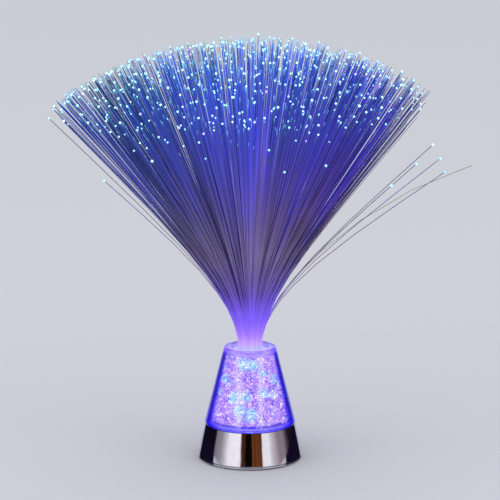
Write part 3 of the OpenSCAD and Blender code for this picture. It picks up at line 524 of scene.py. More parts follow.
# drawn PVC insulation: smooth, with a soft shine
RED_PVC = MouldedPlastic("red_pvc_insulation", "#8f1016", "#a31a20", roughness=0.32, relief_mm=0.005)
BLACK_PVC = MouldedPlastic("black_pvc_insulation", "#141416", "#202023", roughness=0.32, relief_mm=0.005)
# clear cast resin with the light inside it
LED = LedResin("cast_led_resin")
# shrunk film: smooth, with a slight pull
CELL = CellFilm("film_wrapped_cell")
# uncoated paper: quite matt
PAPER = StudioFloor("plain_pale_paper")


# ---- making pieces ----


def mesh_piece(name: str, points: np.ndarray, faces: list[tuple[int, ...]],
               edges: Iterable[tuple[int, int]] = ()) -> Piece:
    """Makes a linked mesh object at the origin.

    Args:
        name: Name of the piece.
        points: Corner places in millimetres, one row each.
        faces: Corner numbers of each face, anticlockwise from outside.
        edges: Corner numbers of loose edges.

    Returns:
        The new object.
    """
    mesh = bpy.data.meshes.new(name)
    mesh.from_pydata((np.asarray(points) * MM).tolist(), list(edges), faces)
    mesh.update()
    piece = bpy.data.objects.new(name, mesh)
    bpy.context.scene.collection.objects.link(piece)
    return piece


def softened(corners: list[tuple[float, float, float]], steps: int = 5) -> Profile:
    """Rounds the corners of a closed outline.

    Args:
        corners: Radius, height and rounding of each corner, in order.
        steps: Short lines that draw one rounding.

    Returns:
        The outline's points.
    """
    out: Profile = []
    straight = 0.02
    for i, (r, z, rounding) in enumerate(corners):
        here = np.array((r, z))
        before = np.array(corners[i - 1][:2]) - here
        after = np.array(corners[(i + 1) % len(corners)][:2]) - here
        before, after = before / np.linalg.norm(before), after / np.linalg.norm(after)
        half = math.acos(max(-1.0, min(1.0, float(before @ after)))) / 2
        if rounding <= 0 or abs(half - math.pi / 2) < straight:
            out.append((r, z))
            continue
        reach = rounding / math.tan(half)
        middle = before + after
        centre = here + middle / np.linalg.norm(middle) * rounding / math.sin(half)
        start, end = here + before * reach - centre, here + after * reach - centre
        turn = math.atan2(start[0] * end[1] - start[1] * end[0], float(start @ end))
        for k in range(steps + 1):
            a = turn * k / steps
            out.append((float(centre[0] + start[0] * math.cos(a) - start[1] * math.sin(a)),
                        float(centre[1] + start[0] * math.sin(a) + start[1] * math.cos(a))))
    return out


def turned(name: str, outline: Profile, segments: int = 160) -> Piece:
    """Turns a closed outline about the lamp's axis.

    Args:
        name: Name of the piece.
        outline: Radius and height of its points, anticlockwise, in millimetres.
        segments: Steps round the axis.

    Returns:
        The ring-shaped piece.
    """
    count = len(outline)
    angles = np.arange(segments) * 2 * math.pi / segments
    ring = np.array(outline)
    points = np.stack([np.outer(np.cos(angles), ring[:, 0]), np.outer(np.sin(angles), ring[:, 0]),
                       np.tile(ring[:, 1], (segments, 1))], -1).reshape(-1, 3)
    faces = []
    for a in range(segments):
        b = (a + 1) % segments
        for i in range(count):
            j = (i + 1) % count
            faces.append((a * count + i, b * count + i, b * count + j, a * count + j))
    piece = mesh_piece(name, points, faces)
    piece.data.shade_smooth()
    piece.data.set_sharp_from_angle(angle=CRISP)
    return piece


def keep_values(piece: Piece, **values: np.ndarray) -> None:
    """Stores numbers on a piece.

    Args:
        piece: The piece.
        **values: Name of each stored value, to one number for each of the piece's corners.
    """
    for name, numbers in values.items():
        layer = piece.data.attributes.new(name, "FLOAT", "POINT")
        layer.data.foreach_set("value", np.asarray(numbers, np.float32))


def geometry_tree(name: str, **inputs: str) -> tuple[Tree, Node]:
    """Starts a geometry tree with named inputs.

    Args:
        name: Name of the tree.
        **inputs: Input name, with _ for a space, to its socket type.

    Returns:
        The tree and its input node.
    """
    tree = bpy.data.node_groups.new(name, "GeometryNodeTree")
    tree.interface.new_socket("Geometry", in_out="INPUT", socket_type="NodeSocketGeometry")
    for title, kind in inputs.items():
        tree.interface.new_socket(title.replace("_", " "), in_out="INPUT", socket_type=kind)
    tree.interface.new_socket("Geometry", in_out="OUTPUT", socket_type="NodeSocketGeometry")
    return tree, add(tree, "NodeGroupInput")


def close_tree(tree: Tree, made: Node, finish: Finish, smooth: bool) -> None:
    """Ends a geometry tree: real geometry, its shading and its finish.

    Args:
        tree: The tree to end.
        made: The node that gives what the tree has made.
        finish: The finish of the result.
        smooth: True for round things, False for faceted ones.
    """
    real = add(tree, "GeometryNodeRealizeInstances", {"Geometry": made})
    shading = add(tree, "GeometryNodeSetShadeSmooth", {"Geometry": real, "Shade Smooth": smooth})
    dressed = add(tree, "GeometryNodeSetMaterial", {"Geometry": shading, "Material": finish.material()})
    add(tree, "NodeGroupOutput", {"Geometry": dressed})


def grown(piece: Piece, tree: Tree, **sizes: Any) -> None:
    """Runs a geometry tree on a piece and keeps what it makes as the piece's plain mesh.

    Args:
        piece: Object whose mesh is the tree's start.
        tree: Geometry tree with named inputs.
        **sizes: Input name, with _ for a space, to its value.
    """
    step = piece.modifiers.new("grow", "NODES")
    step.node_group = tree
    sockets = {s.name: s.identifier for s in tree.interface.items_tree if s.in_out == "INPUT"}
    for name, value in sizes.items():
        step[sockets[name.replace("_", " ")]] = value
    graph = bpy.context.evaluated_depsgraph_get()
    made = bpy.data.meshes.new_from_object(piece.evaluated_get(graph), depsgraph=graph)
    piece.modifiers.remove(step)
    piece.data = made


# ---- sub-assemblies ----

# each finish, and the solids that it goes on
Dressing = dict[Finish, tuple[str, ...]]


@dataclass
class Part:
    """A sub-assembly: it builds its own pieces and dresses the solids it keeps."""

    made: list[Piece] = field(default_factory=list, init=False)
    kept: ClassVar[Dressing] = {}

    def build(self) -> None:
        """Makes the new pieces, if there are any."""

    def dress(self) -> None:
        """Gives each kept solid its finish."""
        for finish, nodes in self.kept.items():
            for node in nodes:
                finish.dress(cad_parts[node])

    def place(self, piece: Piece, slot: Slot, *nodes: str) -> None:
        """Puts a piece on the base, in the place of some solids.

        Args:
            piece: The new piece.
            slot: Not used.
            *nodes: Names of the solids.
        """
        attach(piece, BASE)
        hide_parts(*nodes)
        self.made.append(piece)

    def report(self) -> None:
        """Names what was made and dressed."""
        for piece in self.made:
            triangles = sum(len(face.vertices) - 2 for face in piece.data.polygons)
            LOG.info("%s: %d triangles", piece.name, triangles)
        if self.kept:
            LOG.info("%s keeps %s", type(self).__name__, ", ".join(sum(self.kept.values(), ())))


@dataclass
class ChromeBase(Part):
    """The plated cone shell and everything under and inside it."""

    foot_r: float = 41.0
    seam_r: float = 35.0
    rim_z: float = 0.8
    lip_z: float = 2.2
    groove_z: float = 2.5
    groove: float = 0.3
    cone_z: float = 2.9
    seam_z: float = 28.0
    wall: float = 2.0
    ledge_r: float = 30.0
    ledge_z: float = 26.0
    kept: ClassVar[Dressing] = {
        BLACK_ABS: ("bottom_plate", "battery_door", "door_latch"),
        RUBBER: ("foot_ring",),
        ZINC: ("plate_screws", "switch_screws"),
        CELL: ("battery_cell_1", "battery_cell_2", "battery_cell_3"),
        NICKEL: ("contact_negative", "contact_link_left", "contact_link_right", "contact_positive",
                 "contact_springs", "switch_frame", "switch_pins"),
        PAPER_LAMINATE: ("switch_terminal_board",),
        KNOB_ABS: ("switch_knob",),
        BRASS: ("switch_bridge",),
    }

    def outside(self, z: float) -> float:
        """Outside radius of the cone at a height."""
        share = (z - self.rim_z) / (self.seam_z - self.rim_z)
        return self.foot_r + (self.seam_r - self.foot_r) * share

    def build(self) -> None:
        """The shell: a rolled lip at the foot, a plain cone and the ledge under the cup."""
        out = self.outside
        shell = turned("chrome_shell", softened([
            (out(self.rim_z) - 0.1, self.rim_z, 0.7), (out(self.lip_z), self.lip_z, 0.25),
            (out(self.groove_z) - self.groove, self.groove_z, 0.15), (out(self.cone_z), self.cone_z, 0.25),
            (self.seam_r, self.seam_z, 0.45), (self.ledge_r, self.seam_z, 0.2), (self.ledge_r, self.ledge_z, 0.2),
            (out(self.ledge_z) - self.wall, self.ledge_z, 0.0), (out(self.rim_z) - self.wall, self.rim_z, 0.2),
        ]), segments=240)
        CHROME.dress(shell)
        self.place(shell, Slot.CHROME, "base_shell")


@dataclass
class LightBoard(Part):
    """The board with its lights and wires, seen through the cup's floor."""

    kept: ClassVar[Dressing] = {
        LAMINATE: ("led_board",),
        ZINC: ("board_screws",),
        LED: ("main_led", "accent_leds"),
        NICKEL: ("led_legs",),
        CHIP_RESIN: ("driver_chip", "resistors"),
        RED_PVC: ("wire_positive", "wire_switched"),
        BLACK_PVC: ("wire_negative",),
    }


@dataclass
class CrystalCup(Part):
    """The clear cup, the tube up its middle and the crystals between them."""

    foot_r: float = 35.3
    top_r: float = 20.0
    low_z: float = 28.0
    bead_z: float = 30.6
    neck_z: float = 32.2
    neck: float = 0.15
    high_z: float = 88.0
    wall: float = 2.9
    dish_r: float = 14.5
    dish_z: float = 86.0
    ceiling_z: float = 84.0
    tube_r: float = 11.0
    tube_bore: float = 10.0
    tube_low: float = 29.2
    tube_high: float = 87.0
    fill_low: float = 30.1
    fill_depth: float = 9.0
    crystal_mm: float = 3.4
    # least distance between two crystals, as a share of their size; how much they crowd to the wall; how many
    # places are tried, and how many crystals there is room for
    packing: float = 0.64
    crowding: float = 1.6
    tries: int = 40000
    most: int = 4000
    # shape of a crystal: least and greatest stretch along its three axes
    stretch: tuple[tuple[float, float, float], ...] = ((0.55, 0.75, 0.7), (1.0, 1.25, 1.2))
    # where each diode's painted cold light shows on the crystals: sideways, height and reach
    lights: tuple[tuple[float, float, float], ...] = (
        (-3.7, 77.7, 4.2), (2, 77, 3.6), (-3.7, 54, 3.8), (-8, 43, 4.2), (0.6, 40.4, 4.4), (10.7, 55.8, 2.8),
        (17.4, 53.3, 2.8), (25, 53, 3.2), (17.4, 65, 2.6), (-20, 70, 2.4), (-13.3, 50.3, 2.8), (-17, 62, 2.2),
    )
    # the lights' depth behind the wall, and how they fade: more than 1 is cut off, so their middles are even
    light_behind: float = 2.0
    light_full: float = 1.9
    light_fall: float = 1.2
    # where the tube's two edges show as painted pale streaks, and how they fade in the same way
    tube_lines: tuple[float, float] = (-8.8, 7.6)
    line_full: float = 1.4
    line_reach: float = 2.2
    seed: int = 7
    kept: ClassVar[Dressing] = {FLOOR_ACRYLIC: ("cup_floor",), FERRULE_ABS: ("bundle_ferrule",)}

    def outside(self, z: float) -> float:
        """Outside radius of the cup at a height."""
        share = (z - self.low_z) / (self.high_z - self.low_z)
        return self.foot_r + (self.top_r - self.foot_r) * share

    def build(self) -> None:
        """The cup, its tube and its fill."""
        self.build_cup()
        self.build_tube()
        self.build_crystals()

    def build_cup(self) -> None:
        """A leaning wall between a thick rounded foot and a raised rim round the dish."""
        out = self.outside
        hole = self.tube_r + 0.1
        cup = turned("clear_cup", softened([
            (self.foot_r - 0.1, self.low_z, 1.0), (out(self.bead_z), self.bead_z, 1.5),
            (out(self.neck_z) - self.neck, self.neck_z, 1.5), (self.top_r + 0.15, self.high_z - 0.6, 1.3),
            (self.top_r - 1.2, self.high_z, 1.2), (self.dish_r + 0.4, self.high_z, 0.7),
            (self.dish_r, self.dish_z, 0.8), (hole, self.dish_z, 0.3), (hole, self.ceiling_z, 0.3),
            (out(self.ceiling_z) - self.wall, self.ceiling_z, 1.2), (out(self.low_z) - self.wall, self.low_z, 0.3),
        ], steps=6))
        CUP_ACRYLIC.dress(cup)
        self.place(cup, Slot.ACRYLIC, "crystal_cup")

    def build_tube(self) -> None:
        """The tube that holds the fibres."""
        tube = turned("bundle_tube_clear", softened([
            (self.tube_r, self.tube_low, 0.2), (self.tube_r, self.tube_high, 0.4),
            (self.tube_bore, self.tube_high, 0.4), (self.tube_bore, self.tube_low, 0.2),
        ]), segments=96)
        TUBE_ACRYLIC.dress(tube)
        self.place(tube, Slot.ACRYLIC, "bundle_tube")

    def crystal_places(self) -> np.ndarray:
        """Scatters the crystals, most of them against the wall and fewer behind.

        Returns:
            Places in millimetres, none nearer to another than a crystal can lie.
        """
        dice = np.random.default_rng(self.seed)
        half = self.crystal_mm / 2
        apart = (self.crystal_mm * self.packing) ** 2
        kept, count = np.full((self.most, 3), np.inf), 0
        for _ in range(self.tries):
            z = dice.uniform(self.fill_low + half * 0.8, self.ceiling_z - half * 0.8)
            limit = self.outside(z) - self.wall - half * 0.9
            r = limit - dice.uniform(0, 1) ** self.crowding * min(limit - self.tube_r - half, self.fill_depth)
            a = dice.uniform(0, 2 * math.pi)
            here = np.array((r * math.cos(a), r * math.sin(a), z))
            if ((kept[:count] - here) ** 2).sum(1).min(initial=np.inf) > apart:
                kept[count] = here
                count += 1
        return kept[:count]

    def near_lights(self, places: np.ndarray) -> np.ndarray:
        """Finds how strongly each crystal stands in a diode's painted cold light.

        Args:
            places: The crystals' places in millimetres, one row each.

        Returns:
            A number from 0 to 1 for each.
        """
        found = np.zeros(len(places))
        behind_wall = self.wall + self.light_behind
        for turn in THIRDS:
            for x, z, reach in self.lights:
                r = self.outside(z) - behind_wall
                a = math.radians(turn - 90) + math.asin(min(1.0, max(-1.0, x / r)))
                spot = np.array((r * math.cos(a), r * math.sin(a), z))
                away = np.linalg.norm(places - spot, axis=1)
                found = np.maximum(found, np.clip(self.light_full - self.light_fall * away / reach, 0, 1))
        return found

    def beside_tube(self, places: np.ndarray) -> np.ndarray:
        """Finds how much of the painted pale streak of the tube's edge behind it each crystal gets.

        Args:
            places: The crystals' places in millimetres, one row each.

        Returns:
            A number from 0 to 1 for each.
        """
        found = np.zeros(len(places))
        for turn in np.radians(THIRDS):
            across = places[:, 0] * np.cos(turn) + places[:, 1] * np.sin(turn)
            ahead = places[:, 0] * np.sin(turn) - places[:, 1] * np.cos(turn)
            for edge in self.tube_lines:
                share = np.clip(self.line_full - np.abs(across - edge) / self.line_reach, 0, 1)
                found = np.maximum(found, np.where(ahead > self.tube_r, share, 0))
        return found

    def build_crystals(self) -> None:
        """Irregular faceted bits, turned and stretched at random."""
        places = self.crystal_places()
        dice = np.random.default_rng(self.seed + 1)
        tree, start = geometry_tree("scatter_crystals", Crystal_Size="NodeSocketFloat", Seed="NodeSocketInt")
        points, size, seed = (start.outputs[name] for name in ("Geometry", "Crystal Size", "Seed"))
        gem = add(tree, "GeometryNodeMeshIcoSphere", {"Radius": 0.5, "Subdivisions": 1})
        turn, stretch = (
            add(tree, "FunctionNodeRandomValue", {"Min": low, "Max": high, "Seed": seed}, data_type="FLOAT_VECTOR")
            for low, high in (((0, 0, 0), (FULL_TURN,) * 3), self.stretch))
        scale = add(tree, "VectorMath", {0: stretch, "Scale": size}, operation="SCALE")
        put = add(tree, "GeometryNodeInstanceOnPoints", {"Points": points, "Instance": gem, "Rotation": turn,
                                                         "Scale": scale})
        close_tree(tree, put, CRYSTAL, smooth=False)
        crystals = mesh_piece("acrylic_crystals", places, [])
        keep_values(crystals, tone=dice.uniform(0, 1, len(places)), near_light=self.near_lights(places),
                    by_tube=self.beside_tube(places))
        grown(crystals, tree, Crystal_Size=self.crystal_mm * MM, Seed=self.seed)
        self.place(crystals, Slot.CRYSTAL, "crystal_chips")


@dataclass
class FibreSpray(Part):
    """The bundle of fibres, from the light below up to the glowing tips."""

    main_count: int = 300
    fill_count: int = 1900
    main_mm: float = 0.5
    fill_mm: float = 0.36
    # a bead's width, and in shares of it the smallest, a fine fibre's, and its middle's place behind the end
    tip_mm: float = 2.15
    tip_least: float = 0.75
    fine_tip: float = 0.78
    tip_back: float = 0.62
    # share of the fine fibres that are lit at their ends, and what it loses at the left and right sides, a painted
    # shade
    lit_share: float = 0.32
    lit_loss: float = 0.2
    root_r: float = 9.0
    low_z: float = 31.6
    exit_z: float = 86.09
    longest: float = 245.0
    # how much the thick fibres' lengths and lights differ, and the least light
    main_short: float = 0.045
    main_dim: float = 0.85
    main_brighter: float = 0.45
    # longest share, spread and crowding of the fine fibres' lengths, and their sag in degrees
    fill_top: float = 0.984
    fill_short: float = 0.13
    fill_crowding: float = 2.5
    fill_sag: tuple[float, float] = (-2.0, 0.5)
    flare: float = 38.0
    lean: float = 43.0
    bias: float = 0.06
    # the fine fibres lean a little less than the thick ones, stray by some radians, and bow sideways
    fill_lean: float = 0.965
    fill_spread: float = 0.88
    fill_stray: float = 0.008
    fill_bow: float = 1.6
    # the locks that draw them together: number, unevenness in radians, pull and light, and a fibre's own light
    clumps: int = 90
    clump_shift: float = 0.3
    clump_pull: tuple[float, float] = (0.05, 0.4)
    clump_light: tuple[float, float] = (0.7, 1.35)
    own_light: tuple[float, float] = (0.85, 1.1)
    seed: int = 21
    fine_steps: int = 200
    stops: tuple[float, ...] = (0.0, 0.02, 0.05, 0.09, 0.14, 0.2, 0.28, 0.4, 0.58, 0.78, 0.985, 1.0)
    # place from the rim, lean, share of the length and sag of the loose fibres; the last carries no light
    strays: tuple[tuple[int, float, float, float], ...] = (
        (10, 36, 0.83, 0), (12, 48, 0.86, 0), (20, 47.5, 0.71, 0), (33, 48, 0.79, 0), (44, 42.5, 0.81, 0),
        (46, 57, 0.83, 0), (50, 49, 0.7, 0), (54, 50.5, 0.87, 0), (57, 44.5, 0.86, 0), (60, 47, 0.92, 0),
        (67, 47.5, 0.92, 30),
    )

    def dark_stray(self) -> int:
        """Number of the loose fibre that carries no light."""
        return self.main_count - self.strays[-1][0]

    def sideways(self, rows: np.ndarray) -> np.ndarray:
        """How far each fibre leans to the right, from -1 to 1 at the rim."""
        return rows[:, 0] / self.root_r * np.cos(rows[:, 1])

    def main_fibres(self) -> np.ndarray:
        """The fibres that the solid has too.

        Returns:
            Start radius, azimuth, lean, sag, length and light by fibre; millimetres and radians.
        """
        i = np.arange(self.main_count)
        share = np.sqrt((i + 0.5) / self.main_count)
        turn = i * GOLDEN
        lean = np.radians(self.lean * share * (1 - self.bias * np.cos(turn)))
        length = self.longest * (1 - self.main_short * ((i * GOLDEN_PART) % 1))
        light = self.main_dim + self.main_brighter * ((i * PLASTIC_PART) % 1)
        rows = np.stack([self.root_r * share, turn, lean, np.zeros(self.main_count), length, light], 1)
        for place, end, part, sag in self.strays:
            rows[self.main_count - place, 2:5] = math.radians(end), math.radians(sag), self.longest * part
        rows[self.dark_stray(), 5] = 0.0
        return rows

    def fill_fibres(self) -> np.ndarray:
        """The fibres between them, drawn a little together in loose locks.

        Returns:
            Start radius, azimuth, lean, sag, length and light by fibre; millimetres and radians.
        """
        dice = np.random.default_rng(self.seed)
        i = np.arange(self.fill_count)
        share = np.sqrt((i + 0.5) / self.fill_count)
        turn = (i + 0.5) * GOLDEN
        lean = np.radians(self.fill_lean * self.lean * share**self.fill_spread * (1 - self.bias * np.cos(turn)))
        aim = np.stack([lean * np.cos(turn), lean * np.sin(turn)], 1)
        k = np.arange(self.clumps)
        ring = np.sqrt((k + 0.5) / self.clumps) * math.radians(self.lean)
        around = k * GOLDEN + dice.uniform(-self.clump_shift, self.clump_shift, self.clumps)
        middles = np.stack([ring * np.cos(around), ring * np.sin(around)], 1)
        nearest = np.argmin(((aim[:, None] - middles[None]) ** 2).sum(2), 1)
        pull = dice.uniform(*self.clump_pull, self.clumps)[nearest][:, None]
        aim = aim + (middles[nearest] - aim) * pull + dice.normal(0, self.fill_stray, aim.shape)
        outermost = lean + 0.01
        bent = np.minimum(np.linalg.norm(aim, axis=1), outermost)
        shorter = self.fill_short * dice.uniform(0, 1, self.fill_count) ** self.fill_crowding
        length = self.longest * (self.fill_top - shorter)
        sag = np.radians(dice.uniform(*self.fill_sag, self.fill_count)) * np.sin(bent)
        light = dice.uniform(*self.clump_light, self.clumps)[nearest] * dice.uniform(*self.own_light, self.fill_count)
        return np.stack([self.root_r * share, np.arctan2(aim[:, 1], aim[:, 0]), bent, sag, length, light], 1)

    def routes(self, rows: np.ndarray, bends: float) -> np.ndarray:
        """The points of every fibre.

        Args:
            rows: Start radius, azimuth, lean, sag, length and light by fibre.
            bends: How far a usual fibre bows sideways, in millimetres.

        Returns:
            Millimetre places by fibre, by stop and by axis, with the bundle's lower end first.
        """
        start, turn, lean, sag, length = (column[:, None] for column in rows.T[:5])
        fine = np.linspace(0, 1, self.fine_steps + 1)[None]
        s = fine * length
        angle = lean * (1 - np.exp(-s / self.flare)) + sag * (s / self.longest) ** 2
        step = np.diff(s, axis=1)
        middle = (angle[:, 1:] + angle[:, :-1]) / 2
        zero = np.zeros_like(start)
        outward = np.concatenate([zero, np.cumsum(step * np.sin(middle), 1)], 1) + start
        upward = np.concatenate([zero, np.cumsum(step * np.cos(middle), 1)], 1) + self.exit_z
        dice = np.random.default_rng(self.seed + 1)
        bend = dice.normal(0, 1, start.shape) * bends
        # a bow that starts gently and levels off before the tip
        bow = bend * fine**1.5 * np.sin(np.pi * fine * 0.75)
        pick = np.round(np.array(self.stops) * self.fine_steps).astype(int)
        radial, height, side = outward[:, pick], upward[:, pick], bow[:, pick]
        path = np.stack([radial * np.cos(turn) - side * np.sin(turn), radial * np.sin(turn) + side * np.cos(turn),
                         height], -1)
        below = path[:, :1].copy()
        below[..., 2] = self.low_z
        return np.concatenate([below, path], 1)

    def build(self) -> None:
        """The thicker fibres, the fine ones between them and their lit ends."""
        dice = np.random.default_rng(self.seed + 2)
        tree = self.drawing_tree()
        rows = self.main_fibres()
        main = self.routes(rows, bends=0.0)
        tone = dice.uniform(0, 1, len(rows))
        tone[self.dark_stray()] = 0.5
        self.build_fibres("light_fibres", tree, main, tone, rows, self.main_mm, sides=6)
        rows = self.fill_fibres()
        fill = self.routes(rows, bends=self.fill_bow)
        tone = dice.uniform(0, 1, len(rows))
        self.build_fibres("fine_light_fibres", tree, fill, tone, rows, self.fill_mm, sides=4)
        lit = dice.uniform(0, 1, len(fill)) < self.lit_share - self.lit_loss * self.sideways(rows) ** 2
        beads = np.concatenate([np.delete(main, self.dark_stray(), 0), fill[lit]])
        self.build_tips(beads, dice)

    def drawing_tree(self) -> Tree:
        """Makes the geometry tree that draws a thin round fibre along every route.

        Returns:
            The tree.
        """
        tree, start = geometry_tree("draw_fibres", Fibre_Radius="NodeSocketFloat", Sides="NodeSocketInt")
        route, radius, sides = (start.outputs[name] for name in ("Geometry", "Fibre Radius", "Sides"))
        line = add(tree, "GeometryNodeMeshToCurve", {"Mesh": route})
        section = add(tree, "GeometryNodeCurvePrimitiveCircle", {"Resolution": sides, "Radius": radius},
                      mode="RADIUS")
        drawn = add(tree, "GeometryNodeCurveToMesh", {"Curve": line, "Profile Curve": section, "Fill Caps": True})
        close_tree(tree, drawn, FIBRE, smooth=True)
        return tree

    def build_fibres(self, name: str, tree: Tree, routes: np.ndarray, tone: np.ndarray, rows: np.ndarray,
                     thick: float, sides: int) -> None:
        """Makes one piece of many fibres.

        Args:
            name: Name of the piece.
            tree: The tree that draws them.
            routes: Their points, by fibre, stop and axis.
            tone: A number from 0 to 1 for each fibre, for its colour.
            rows: What routes was made from; it gives each fibre's place in the bundle.
            thick: Their diameter in millimetres.
            sides: Faces round one fibre.
        """
        count, rings, _ = routes.shape
        edges = [(f * rings + k, f * rings + k + 1) for f in range(count) for k in range(rings - 1)]
        fibres = mesh_piece(name, routes.reshape(-1, 3), [], edges)
        rank, across, light = rows[:, 0] / self.root_r, self.sideways(rows), rows[:, 5]
        by_fibre = {"tone": tone, "rank": rank, "across": across, "light": light}
        keep_values(fibres, along=np.tile((0.0, *self.stops), count),
                    **{key: np.repeat(numbers, rings) for key, numbers in by_fibre.items()})
        grown(fibres, tree, Fibre_Radius=thick / 2 * MM, Sides=sides)
        self.place(fibres, Slot.FIBRE, "fiber_spray", "fiber_bundle")

    def build_tips(self, routes: np.ndarray, dice: np.random.Generator) -> None:
        """Puts a rounded, glowing bead on the end of every lit fibre, smaller on the fine ones.

        Args:
            routes: Points of the lit fibres, thick ones first.
            dice: Draws each bead's tone.
        """
        ahead = routes[:, -1] - routes[:, -2]
        ahead /= np.linalg.norm(ahead, axis=1, keepdims=True)
        ends = routes[:, -1] - ahead * self.tip_mm * self.tip_back
        large = np.where(np.arange(len(ends)) < self.main_count - 1, 1.0, self.fine_tip)
        tree, start = geometry_tree("round_tips", Tip_Radius="NodeSocketFloat", Seed="NodeSocketInt")
        points, radius, seed = (start.outputs[name] for name in ("Geometry", "Tip Radius", "Seed"))
        bead = add(tree, "GeometryNodeMeshUVSphere", {"Segments": 8, "Rings": 5, "Radius": radius})
        vary = add(tree, "FunctionNodeRandomValue", {"Min": self.tip_least, "Max": 1.0, "Seed": seed},
                   data_type="FLOAT")
        rated = add(tree, "GeometryNodeInputNamedAttribute", {"Name": "large"}, data_type="FLOAT")
        size = add(tree, "Math", {0: vary, 1: rated}, operation="MULTIPLY")
        put = add(tree, "GeometryNodeInstanceOnPoints", {"Points": points, "Instance": bead, "Scale": size})
        close_tree(tree, put, TIP, smooth=True)
        tips = mesh_piece("fibre_tips", ends, [])
        keep_values(tips, tone=dice.uniform(0, 1, len(ends)), large=large)
        grown(tips, tree, Tip_Radius=self.tip_mm / 2 * MM, Seed=self.seed)
        self.place(tips, Slot.FIBRE, "fiber_spray")


# ---- studio ----


def round_lamp(azimuths: np.ndarray | list[float], reach: float) -> np.ndarray:
    """Points round the lamp, on the ground.

    Args:
        azimuths: Degrees from the camera's side, positive to the right.
        reach: Metres from the lamp's axis.

    Returns:
        Their places in millimetres, one row each.
    """
    turns = np.radians(azimuths)
    return np.stack([np.sin(turns), -np.cos(turns), np.zeros(len(turns))], 1) * reach / MM


